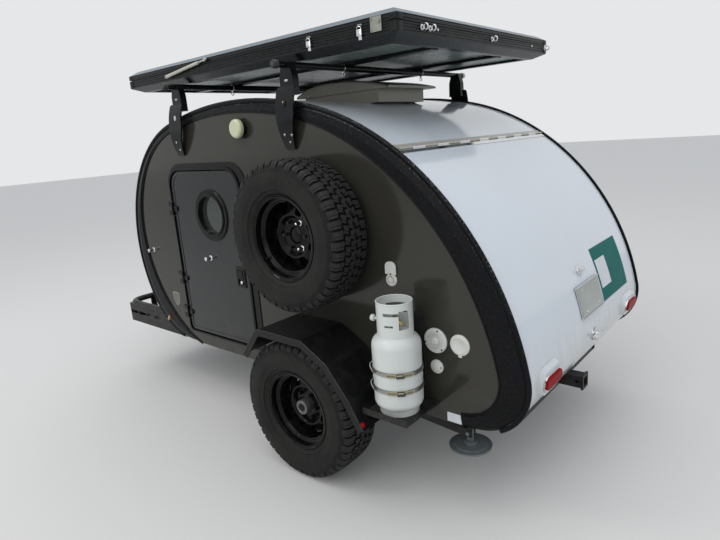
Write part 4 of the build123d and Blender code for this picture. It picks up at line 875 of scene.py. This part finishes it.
add_piece("plate_lamp_shell", joined(
    placed(hood, np.array(lamp_place) + 0.004 * lamp_rise, (0, 1, 0)),
    placed(lamp_dish, on_hatch(*PLATE_LAMP, 0.0068)[0], lamp_normal),
), chrome, "hatch")
handle_rose = turned([(0, 0), (0.0335, 0), (0.0335, 0.003), (0.030, 0.0048), (0.0255, 0.0052),
                      (0.012, 0.0085), (0.0108, 0.018), (0, 0.018)], 32)
grip_place, grip_normal = on_hatch(HANDLE_Z, 0.0, 0.0235)
grip_line = np.array(grip_place) + np.linspace(-1, 1, 13)[:, None] * (0, HANDLE_HALF, 0)
add_piece("handle_shell", joined(
    carried(grip_line, circle(0.0098, 14) * (1.0, 0.72), grip_normal),
    placed(handle_rose, on_hatch(HANDLE_Z, 0.0, 0.0048)[0], grip_normal),
), chrome, "hatch")


# Gas bottle: white enamel over a welded steel shell, chalky and rust-specked, with a weld bead round
# its middle and a rolled collar rim. Two slotted steel bands with worm screws tie it to its bracket.
BOTTLE_X, BOTTLE_Y, BOTTLE_R = -0.577, 0.930, 0.108
# Beads. Columns: radius, thickness, steps round, steps of the section, height
BEADS = [(0.1078, 0.0017, 96, 8, 0.660), (0.0772, 0.0034, 72, 10, 0.9975), (0.0845, 0.0030, 72, 8, 0.4985)]
# Heights of the straps, and where their worms and hooks are and their tongues run, in degrees from forward
STRAPS, WORM_AT, HOOK_AT, TONGUE_SPAN = (0.620, 0.700), 131, 62, (102, 160)
VALVE_Z, OUTLET_Z, HANDWHEEL_Z = 0.861, 0.905, 0.944


def rust_layers(tree, place, colour, rough):
    """Rust specks gather low on the bottle, with a few round its shoulder."""
    low = ranged(tree, component(tree, place, "Z"), 0.68, 0.50, 0.15, 1.0)
    speck = ranged(tree, noise(tree, place, 55.0, 6.0, 0.7), 0.62, 0.70)
    colour = tinted(tree, times(tree, speck, low), colour, (0.20, 0.115, 0.06))
    stain = ranged(tree, noise(tree, place, 6.0, 6.0, 0.6, (1, 1, 0.25)), 0.45, 0.80, 0.0, 0.35)
    return tinted(tree, times(tree, stain, low), colour, (0.42, 0.38, 0.29)), rough


bottle_white = finish("bottle_white", (0.585, 0.615, 0.59), 0.32, coat=0.12, mottle=0.04, grain=120,
                      height=0.0002, layers=rust_layers)
dress(bottle_white, "propane_bottle")
axis = np.array((BOTTLE_X, BOTTLE_Y, 0.0))
beads = [placed(hoop(*bead), axis + (0, 0, z), (0, 0, 1)) for *bead, z in BEADS]
add_piece("bottle_beads", joined(*beads), bottle_white)


def round_bottle(degrees, height, out=0.0):
    """A place and normal on the bottle's side, degrees round from forward."""
    a = math.radians(degrees)
    normal = (math.cos(a), math.sin(a), 0)
    return axis + np.array(normal) * (BOTTLE_R + out) + (0, 0, height), normal


strap_section = np.array([(0.1114, -0.0092), (0.1120, -0.0092), (0.1123, -0.0075), (0.1117, -0.0060),
                          (0.1117, 0.0060), (0.1123, 0.0075), (0.1120, 0.0092), (0.1114, 0.0092)])
band_turn = np.linspace(0, 2 * np.pi, 97)[:-1]
band_x, band_y = (strap_section[None, :, 0] * wave(band_turn)[:, None] for wave in (np.cos, np.sin))
band = np.stack([band_x, band_y, np.broadcast_to(strap_section[:, 1], band_x.shape)], -1)
strap_ring = (band.reshape(-1, 3), grid_quads(*band_x.shape, True, True))
worm = turned([(0, -0.016), (0.0058, -0.016), (0.0062, -0.011), (0.0062, 0.011), (0.0050, 0.012),
               (0.0066, 0.0125, 1), (0.0066, 0.0185, 1), (0.0030, 0.0190), (0, 0.0175)], 18)
shell = raised(rounded(0.026, 0.017, 0.003), [(0, 0), (0.011, 0), (0.0135, -0.003)])
parts, tongues = [], []
for height in STRAPS:
    spot, normal = round_bottle(WORM_AT, height, 0.0055)
    parts.append(placed(strap_ring, (BOTTLE_X, BOTTLE_Y, height), (0, 0, 1), -math.pi / 2))
    tongue = np.radians(np.linspace(*TONGUE_SPAN, 30))[:, None]
    tongue = axis + (0, 0, height) + 0.1130 * np.hstack([np.cos(tongue), np.sin(tongue), 0 * tongue])
    tongues.append(carried(tongue, rounded(0.0016, 0.0190, 0.0006, 3)))
    tongues.append(placed(shell, spot, normal))
    hook_spot, hook_normal = round_bottle(HOOK_AT, height + 0.02, 0.004)
    turn = np.linspace(0, 1, 26)
    hook = np.stack([0.010 * np.sin(turn * 2.2 * np.pi), -0.030 + 0.062 * turn,
                     0.004 + 0.010 * np.sin(turn * np.pi)], 1)
    parts.append(placed(carried(hook, circle(0.0021, 8), (0, 0, 1)), hook_spot, hook_normal))
steel_band = finish("steel_band", (0.36, 0.36, 0.34), 0.34, metal=0.92, mottle=0.3, mottle_scale=70,
                    stretch=(1, 1, 0.2), grain=240, height=0.0001, dust=0.2)
add_piece("bottle_straps", joined(*parts), steel_band)
yellow_zinc = finish("yellow_zinc", (0.36, 0.34, 0.22), 0.36, metal=0.55, mottle=0.25, mottle_scale=60,
                     grain=240, height=0.0001, dust=0.2)
add_piece("strap_tongues", joined(*tongues), yellow_zinc)
worms = [round_bottle(WORM_AT, h, 0.0165)[0] for h in STRAPS]
across_worm = (-math.sin(math.radians(WORM_AT)), math.cos(math.radians(WORM_AT)), 0)
add_piece("strap_worms", placed(worm, worms, across_worm), dark_steel)
slots = zip(*(round_bottle(d, h, 0.0060) for h in STRAPS for d in np.r_[104:122:3.0, 142:158:3.0]))
slot_mark = raised(rounded(0.0022, 0.0095, 0.0008, 3), [(-0.0004, 0), (0.0003, 0)])
add_piece("strap_slots", placed(slot_mark, *slots, 0.35), trim_black)
handwheel = turned([(0, 0), (0.012, 0), (0.0135, 0.003), (0.024, 0.006), (0.0255, 0.012), (0.024, 0.018),
                    (0.012, 0.020), (0.010, 0.017), (0, 0.0165)], 30)
knob = turned([(0, 0), (0.006, 0), (0.006, 0.018), (0.0135, 0.020), (0.0155, 0.026), (0.0145, 0.036),
               (0.009, 0.040), (0, 0.0405)], 24)
valve_stem = turned([(0, 0), (0.0195, 0), (0.0195, 0.022), (0.016, 0.026), (0.0190, 0.028), (0.0190, 0.040),
                     (0.0135, 0.046), (0.0135, 0.064), (0.006, 0.066), (0.006, 0.084), (0, 0.084)])
outlet = turned([(0, 0), (0.0145, 0), (0.0145, 0.012), (0.0115, 0.014), (0.0115, 0.030), (0.0085, 0.034),
                 (0, 0.034)])
add_piece("bottle_valve", joined(
    placed(valve_stem, axis + (0, 0, VALVE_Z), (0, 0, 1)),
    placed(outlet, axis + (-0.014, 0.006, OUTLET_Z), (-0.92, 0.39, 0)),
), brass)
add_piece("bottle_knobs", joined(
    placed(handwheel, axis + (0, 0, HANDWHEEL_Z), (0, 0, 1)),
    placed(knob, axis + (0.079, 0.012, OUTLET_Z), (0.98, 0.15, 0.1)),
), port_white)


# Fenders: folded steel in textured satin black, with a painted highlight as a paler line along its outer
# edge, carriage bolts along the wall and a small red marker low on the rear slope.
FENDER_LINE = np.array([(0.316, 0.622), (0.192, 0.778), (-0.132, 0.775), (-0.283, 0.690), (-0.402, 0.545),
                        (-0.478, 0.420)])
# Bolts on the top and on the rear slope. Columns: x and z of both bolts, the way that they face
FENDER_BOLTS = [([(0.12, 0.7773), (-0.06, 0.7756)], (0, 0, 1)),
                ([(-0.345, 0.6145), (-0.440, 0.4827)], (-0.79, 0, 0.61))]
FENDER_EDGE_Y, FENDER_FILLET, FENDER_BOLT_Y = 1.0775, 0.060, 0.815
FENDER_MARKER = (-0.4655, 1.064, 0.4406)


def filleted(points, radius, steps=9):
    """A run of straight lines whose corners are circle arcs tangent to both lines."""
    out = [points[0]]
    for before, corner, after in zip(points, points[1:], points[2:]):
        a, b = ((other - corner) / np.linalg.norm(other - corner) for other in (before, after))
        half = math.acos(float(np.dot(a, b))) / 2
        reach = radius / math.tan(half)
        middle = corner + (a + b) / np.linalg.norm(a + b) * radius / math.sin(half)
        start, end = corner + a * reach - middle, corner + b * reach - middle
        span = np.linspace(0, 1, steps)[:, None]
        total = math.pi - 2 * half
        arc = np.sin((1 - span) * total) * start + np.sin(span * total) * end
        out.extend(middle + arc / math.sin(total))
    return np.array([*out, points[-1]])


fender_black = finish("fender_black", (0.0048, 0.0050, 0.0058), 0.36, coat=0.04, shine=0.22, mottle=0.2,
                      grain=260, height=0.0002, dust=0.05, dust_scale=18)
dress(fender_black, "fenders")
# painted highlight: a paler, partly metallic tube along the fender's outer edge
fender_edge_highlight = finish("fender_edge_highlight", (0.034, 0.036, 0.034), 0.28, metal=0.4, mottle=0.5, mottle_scale=40,
                     grain=200, height=0.0001)
edge_line = filleted(FENDER_LINE, FENDER_FILLET)
carriage_bolt = turned([(0, 0), (0.011, 0), (0.0095, 0.003), (0.005, 0.0052), (0, 0.0058)], 18)
rim_bits, bolt_bits = [], []
for s in (1, -1):
    rim_bits.append(carried(at_side(*edge_line.T, s * FENDER_EDGE_Y), circle(0.0024, 8), (0, 1, 0)))
    for spots, facing in FENDER_BOLTS:
        bolt_bits.append(placed(carriage_bolt, [on_wall(spot, s * FENDER_BOLT_Y) for spot in spots], facing))
add_piece("fender_rims", joined(*rim_bits), fender_edge_highlight)
add_piece("fender_bolts", joined(*bolt_bits), fender_black)
jewel = turned([(0, 0), (0.0125, 0), (0.012, 0.004), (0.0085, 0.0085), (0.003, 0.0105), (0, 0.0107)], 22)
jewels = placed(jewel, both_sides(FENDER_MARKER)[0], (-0.855, 0, 0.52))
add_piece("fender_markers", jewels, red_lens)


# Roof rack: black powder-coated steel bars and bowed brackets. The bars end in ribbed caps, plain oval
# plates sit on the brackets, steel screws hold the feet and chrome eye bolts hold the tent's rails.
rack_black = finish("rack_black", (0.0032, 0.0038, 0.0050), 0.20, coat=0.08, shine=0.18, mottle=0.25,
                    grain=150, height=0.0001, dust=0.05)
dress(rack_black, "roof_bars", "roof_feet")
BAR_X, BAR_END_Y, BAR_Z = (0.088, 1.035), 0.849, 2.029
# Distance across and height of each foot's plate or knob, of the small plates and of the knobs' dots
FOOT_Y, FOOT_Z, OVAL_Y, OVAL_Z, DOT_Y, DOT_Z = 0.8262, 1.852, 0.8002, 1.958, 0.8362, 1.8585
# The tent's rails, by distance across, and how far their eyes hang below the bars' axis
RAIL_Y, EYE_DROP = (0.386, -0.348), 0.0225
bar_cap = turned([(0, 0), (0.0176, 0), (0.0200, 0.002), (0.0200, 0.006), (0.0190, 0.0075), (0.0200, 0.009),
                  (0.0200, 0.022), (0.0175, 0.028), (0.010, 0.0305), (0, 0.031)], 28)
cap_grey = finish("cap_grey", (0.030, 0.034, 0.035), 0.45, shine=0.4, mottle=0.2, mottle_scale=40, grain=240,
                  height=0.0002, dust=0.2)
for side_name, s, look, slot_name in (("left", 1, cap_grey, "trim_black"),
                                      ("right", -1, plated_steel, "hinge_metal")):
    caps = placed(bar_cap, [(x, s * BAR_END_Y, BAR_Z) for x in BAR_X], (0, s, 0))
    add_piece("bar_caps_" + side_name, caps, look)
# Screws of each foot, x and z, on the bracket's bowed face, which is an arc of the radius BOW_R
FOOT_SCREWS = np.array([(1.056, 1.716), (1.046, 1.672), (0.108, 1.709), (0.060, 1.705), (0.084, 1.672)])
BOW_Y, BOW_Z, BOW_R = 0.4843, 1.7936, 0.3502
bow_rise = FOOT_SCREWS[:, 1] - BOW_Z
bow_out = np.sqrt(BOW_R ** 2 - bow_rise ** 2)
foot_screws = []
for s in (1, -1):
    spots = np.stack([FOOT_SCREWS[:, 0], s * (BOW_Y + bow_out - 0.0004), FOOT_SCREWS[:, 1]], 1)
    foot_screws.append(placed(screw(0.0068), spots, np.stack([0 * bow_out, s * bow_out, bow_rise], 1)))
add_piece("foot_screws", joined(*foot_screws), plated_steel)
oval = raised(np.array([0.0115, 0.0165]) * circle(1.0, 24), [(-0.003, 0), (0.0018, 0), (0.0026, -0.0016)])
small_oval = raised(np.array([0.0125, 0.0055]) * circle(1.0, 24),
                    [(-0.003, 0), (0.0010, 0), (0.0016, -0.001)])
foot_knob = turned([(0, -0.012), (0.0145, -0.012), (0.0145, -0.001), (0.0165, 0.001), (0.0165, 0.006),
                    (0.013, 0.0095), (0.005, 0.010), (0, 0.0095)], 24)
dot = turned([(0, 0), (0.0042, 0), (0.003, 0.0012), (0, 0.0015)], 14)
plates, knobs, dots = [], [], []
for s in (1, -1):
    plates.append(placed(oval, (BAR_X[1], s * FOOT_Y, FOOT_Z), (0, s, 0.10)))
    plates.append(placed(small_oval, [(x, s * OVAL_Y, OVAL_Z) for x in BAR_X], (0, s, 0)))
    knobs.append(placed(foot_knob, (BAR_X[0], s * FOOT_Y, FOOT_Z), (0, s, 0.10)))
    dots.append(placed(dot, (BAR_X[0], s * DOT_Y, DOT_Z), (0, s, 0.10)))
add_piece("foot_plates", joined(*plates), plated_steel)
add_piece("foot_knobs", joined(*knobs), rack_black)
add_piece("foot_dots", joined(*dots), brass)
shank = [(0, -0.002), (0.0062, -0.002), (0.0062, 0.004), (0.0034, 0.006), (0.0034, 0.0100), (0, 0.0100)]
eye = joined(placed(hoop(0.0100, 0.0026, 28, 8), (0, 0, -0.0115), (1, 0, 0)), turned(shank, 14))
hung = [(eye[0] + (x, y, BAR_Z - EYE_DROP), eye[1]) for x in BAR_X for y in RAIL_Y]
clip_band = placed(hoop(0.0180, 0.0018, 36, 8), [(x, y, BAR_Z) for x in BAR_X for y in RAIL_Y], (0, 1, 0))
add_piece("rail_eyes", joined(*hung, clip_band), chrome)


# Roof tent: a closed hard shell of extruded black channel with cast corners, a satin grey-blue lid, a
# rubber gasket between its halves, bright toggle latches, corner plates, eye nuts and cream gas struts.
TENT_X, TENT_Y, CASTING_IN = (-0.545, 1.600), 0.760, 0.018
GASKET_Z, LATCH_Z, KEEPER_Z = 2.1225, 2.1010, 2.1305
# Latches of each side, their x and the face that they sit on, and the place of the lid's corner plates
LATCH_X, LATCH_Y, CORNER_PLATE = (-0.048, -0.352), 0.7602, (-0.4405, 0.760, 2.1200)
# Rings and buttons along the rear edge, by distance across, and their height
REAR_RINGS, REAR_BUTTONS, RING_Z = (0.583, 0.521, -0.056, -0.735), (0.457, -0.552), 2.1065


def tent_side_layers(tree, place, colour, rough):
    """Long thin marks along the channel. Underneath, the mill-grey sheet shows between the black rails."""
    streak = ranged(tree, noise(tree, place, 16.0, 5.0, 0.7, (0.06, 0.06, 3.0)), 0.45, 0.75, 0.0, 0.45)
    colour = tinted(tree, streak, colour, (0.020, 0.022, 0.024))
    down = ranged(tree, facing_up(tree, -1.0, 0.0), 0.03, 0.01)
    sheet = times(tree, ranged(tree, component(tree, place, "Z"), 2.0600, 2.0610), down)
    return tinted(tree, sheet, colour, (0.190, 0.225, 0.215)), rough


tent_black = finish("tent_black", (0.0055, 0.0062, 0.0072), 0.28, metal=0.15, shine=0.2, mottle=0.2,
                    grain=200, height=0.00006, dust=0.06, layers=tent_side_layers)
dress(tent_black, "tent_base")


def lid_layers(tree, place, colour, rough):
    """The lid is grey-blue above the bend and black channel below it, with water marks on the flat."""
    edge = ranged(tree, component(tree, place, "Z"), 2.1515, 2.1522)
    marks = ranged(tree, noise(tree, place, 7.0, 8.0, 0.65), 0.42, 0.72, 0.0, 0.5)
    top = tinted(tree, marks, (0.11, 0.14, 0.17), (0.155, 0.185, 0.215))
    return tinted(tree, edge, (0.0075, 0.0080, 0.0090), top), rough


tent_lid = finish("tent_lid", (0.12, 0.15, 0.18), 0.34, metal=0.15, shine=0.28, grain=150, height=0.00012,
                  layers=lid_layers)
dress(tent_lid, "tent_lid")
strut_cream = finish("strut_cream", (0.50, 0.49, 0.42), 0.36, metal=0.4, coat=0.1, mottle=0.12,
                     mottle_scale=18, grain=160, height=0.00006, dust=0.1)
dress(strut_cream, "strut_tube_left", "strut_tube_right")
dress(plated_steel, "strut_rod_left", "strut_rod_right")
middle_x = (TENT_X[0] + TENT_X[1]) / 2
gasket_line = rounded(TENT_X[1] - TENT_X[0] - 0.008, 2 * TENT_Y - 0.008, 0.02) + (middle_x, 0)
gasket = np.column_stack([gasket_line, np.full(len(gasket_line), GASKET_Z)])
add_piece("tent_gasket", carried(gasket, circle(0.0023, 8), (0, 0, 1), True), soft_rubber)
corners = [(x, y) for x in (TENT_X[0] + CASTING_IN, TENT_X[1] - CASTING_IN)
           for y in (TENT_Y - CASTING_IN, CASTING_IN - TENT_Y)]
post = rounded(0.042, 0.042, 0.008)
for half, low, high, owner in (("base", 2.0795, 2.1190, "trailer"), ("lid", 2.1262, 2.1500, "tent_lid")):
    cast = raised(post, [(low, -0.001), (low + 0.001, 0), (high - 0.001, 0), (high, -0.001)])
    posts = [(cast[0] + (x, y, 0), cast[1]) for x, y in corners]
    add_piece("tent_castings_" + half, joined(*posts), tent_black, owner)
latch_plate = raised(rounded(0.040, 0.017, 0.003), [(0, 0), (0.002, 0), (0.003, -0.001)])
latch_lever = raised(rounded(0.026, 0.027, 0.004), [(0.002, 0.001), (0.009, 0), (0.011, -0.003)])
wire = np.array([(-0.011, 0.004, 0.006), (-0.011, 0.016, 0.0075), (-0.009, 0.022, 0.008),
                 (0.0, 0.0235, 0.008), (0.009, 0.022, 0.008), (0.011, 0.016, 0.0075), (0.011, 0.004, 0.006)])
latch = joined(
    placed(latch_plate, (0, -0.010, 0), (0, 0, 1)),
    placed(latch_lever, (0, -0.001, 0), (0, 0, 1)),
    carried(wire, circle(0.0018, 8), (0, 0, 1)))
latches = placed(latch, *both_sides(*((x, LATCH_Y, LATCH_Z) for x in LATCH_X)))
add_piece("tent_latches", latches, chrome)
keeper = raised(rounded(0.026, 0.008, 0.002), [(0, 0), (0.003, 0), (0.005, -0.002)])
corner_plate = raised(rounded(0.058, 0.059, 0.004), [(0.0022, 0), (0.0042, 0), (0.0047, -0.0005)])
plate_screws = []
for s in (1, -1):
    spots = [(CORNER_PLATE[0] + 0.022, s * 0.7646, CORNER_PLATE[2] + dz) for dz in (0.020, -0.020)]
    plate_screws.append(placed(bolt(0.0042, 0.004), spots, (0, s, 0)))
corner_steel = finish("corner_steel", (0.27, 0.285, 0.25), 0.36, metal=0.6, mottle=0.2, mottle_scale=50,
                      grain=240, height=0.0001, dust=0.15)
add_piece("tent_corner_plates", joined(
    placed(keeper, *both_sides(*((x, LATCH_Y, KEEPER_Z) for x in LATCH_X))),
    placed(corner_plate, *both_sides(CORNER_PLATE)),
    *plate_screws,
    placed(bolt(0.0088, 0.0055), *both_sides((-0.4550, 0.7642, 2.1310))),
), corner_steel, "tent_lid")
eye_nut = joined(
    turned([(0, 0), (0.0125, 0), (0.0125, 0.003), (0.006, 0.0055), (0.005, 0.012), (0, 0.012)], 20),
    placed(hoop(0.0115, 0.0034, 32, 10), (0, 0, 0.020), (1, 0, 0)))
button = turned([(0, 0), (0.0065, 0), (0.006, 0.003), (0.003, 0.0045), (0, 0.005)], 16)
rings = [placed(shape, [(TENT_X[0] - 0.0002, y, RING_Z) for y in ys], (-1, 0, 0))
         for shape, ys in ((eye_nut, REAR_RINGS), (button, REAR_BUTTONS))]
add_piece("tent_rings", joined(*rings), chrome)


# Roof fan: a moulded beige-grey rim under an arched smoke-brown lid, held down by plated screws through
# its flange.
def fan_layers(tree, place, colour, rough):
    """The lid's top is dark smoke where it faces up; its sides and rim stay beige-grey."""
    up = ranged(tree, facing_up(tree, 0.55, 0.0), 0.15, 0.45)
    return tinted(tree, up, colour, (0.030, 0.028, 0.026)), rough


fan_smoke = finish("fan_smoke", (0.19, 0.185, 0.150), 0.30, coat=0.15, shine=0.35, mottle=0.12, grain=90,
                   height=0.0001, dust=0.15, layers=fan_layers)
dress(fan_smoke, "roof_fan")
fan_screws = [(x, 0.2352, 1.9245) for x in (0.0, 0.17, 0.34, 0.51)]
add_piece("fan_screws", placed(screw(0.0045), *both_sides(*fan_screws)), plated_steel)


# Galley: clear birch plywood with sealed edges, brushed pulls on the fronts and a steel edge on the
# counter. It shows only when the hatch is up.
birch = finish("birch", (0.50, 0.355, 0.215), 0.38, coat=0.15, mottle=0.22, mottle_scale=7,
               stretch=(4.0, 0.35, 4.0), grain=60, height=0.0001)
dress(birch, "galley")
# Places of the pulls, across and up, the front that they are on, and the line of the counter's edge
PULLS, PULL_X = [(-0.4785, 0.834), (0.0, 0.691), (0.0, 0.834), (0.4785, 0.834)], -0.9812
COUNTER_X, COUNTER_Z, COUNTER_HALF = -0.9855, 0.8925, 0.742
bow = np.array([(-0.050, 0, 0), (-0.049, 0, 0.010), (-0.044, 0, 0.0165), (-0.030, 0, 0.019), (0, 0, 0.0198),
                (0.030, 0, 0.019), (0.044, 0, 0.0165), (0.049, 0, 0.010), (0.050, 0, 0)])
pull = carried(bow, circle(0.0042, 10), (0, 1, 0))
pulls = placed(pull, [(PULL_X, y, z) for y, z in PULLS], (-1, 0, 0))
add_piece("galley_pulls", pulls, plated_steel)
counter_y = np.linspace(-COUNTER_HALF, COUNTER_HALF, 5)
counter_line = np.stack([np.full(5, COUNTER_X), counter_y, np.full(5, COUNTER_Z)], 1)
counter_edge = carried(counter_line, rounded(0.004, 0.024, 0.0015, 3), (0, 0, 1))
add_piece("counter_edge", counter_edge, plated_steel)


# Mattress and the tent's bedding: firm foam in grey woven covers, crowned between their seams. They
# fill the space of their plain CAD blocks.
def weave_layers(tree, place, colour, rough):
    """Crossed threads at about two millimetres, with a painted highlight on their crowns."""
    warp = shader_node(tree, "ShaderNodeTexWave", bands_direction="X")
    warp.inputs["Scale"].default_value = 160.0
    weft = shader_node(tree, "ShaderNodeTexWave", bands_direction="Y")
    weft.inputs["Scale"].default_value = 160.0
    tree.links.new(place, warp.inputs["Vector"])
    tree.links.new(place, weft.inputs["Vector"])
    cross = times(tree, warp.outputs["Fac"], weft.outputs["Fac"])
    # painted highlight: the threads' crowns are tinted paler than the grey cover
    return tinted(tree, ranged(tree, cross, 0.0, 1.0, 0.0, 0.5), colour, (0.40, 0.41, 0.43)), rough


cover = finish("cover_grey", (0.20, 0.21, 0.225), 0.85, shine=0.2, mottle=0.1, mottle_scale=9, grain=700,
               height=0.0004, layers=weave_layers)


def cushion(x_span, y_half, z_span, crown, panels, nose=None, rows=97, around=48):
    """A crowned pad: along its length a rounded box section swells between seams.

    The section is |y / Y|^6 + |z / H|^3 = 1. H closes in at both ends by c = (1 - |u|^14)^(1/6) and Y by
    0.6 + 0.4 c. Each panel's top rises by the crown times (sine of its own length)^0.35 and falls toward
    the sides by 0.06 (y / Y)^4 of H. The nose gives the lowest height that the body's front leaves it.
    """
    u = np.sin(np.linspace(-np.pi / 2, np.pi / 2, rows))
    u = 0.4 * u + 0.6 * np.linspace(-1, 1, rows)
    x = (x_span[0] + x_span[1]) / 2 + u * (x_span[1] - x_span[0]) / 2
    close = (1 - np.abs(u) ** 14) ** (1 / 6)
    low = np.full(rows, z_span[0]) if nose is None else np.maximum(z_span[0], nose(x))
    swell = crown * np.abs(np.sin((u + 1) / 2 * np.pi * panels)) ** 0.35
    high = z_span[1] - crown + swell
    a = np.arange(around) * 2 * np.pi / around
    across = np.sign(np.cos(a)) * np.abs(np.cos(a)) ** (1 / 3)
    up = np.sign(np.sin(a)) * np.abs(np.sin(a)) ** (2 / 3)
    middle, half = (low + high) / 2, (high - low) / 2 * close
    dome = 1 - 0.06 * (across[None, :] ** 4)
    y = y_half * (0.6 + 0.4 * close)[:, None] * across
    z = middle[:, None] + half[:, None] * up * np.where(up > 0, dome, 1.0)
    points = np.stack([np.broadcast_to(x[:, None], y.shape), y, z], -1)
    ends = [np.broadcast_to(row.mean(0), (1, around, 3)) for row in (points[0], points[-1])]
    points = np.concatenate([ends[0], points, ends[1]])
    return points.reshape(-1, 3), grid_quads(rows + 2, around, wrap_cols=True)


def nose_rise(x):
    """The inside of the body's lower front arc: its centre less the height left beside it."""
    centre_x, centre_z, radius = 1.249145, 0.890681, 0.4375
    return centre_z - np.sqrt(np.maximum(0.0, radius ** 2 - np.maximum(0.0, x - centre_x) ** 2))


mattress_shape = cushion((-0.4085, 1.5350), 0.7330, (0.4520, 0.5895), 0.006, 3, nose_rise)
mattress = add_piece("mattress_pad", mattress_shape, cover, "trailer", ["mattress"])
bedding_shape = cushion((-0.4660, 1.5210), 0.6810, (2.0705, 2.1155), 0.004, 4)
bedding = add_piece("bedding_pad", bedding_shape, cover, "trailer", ["tent_bedding"])
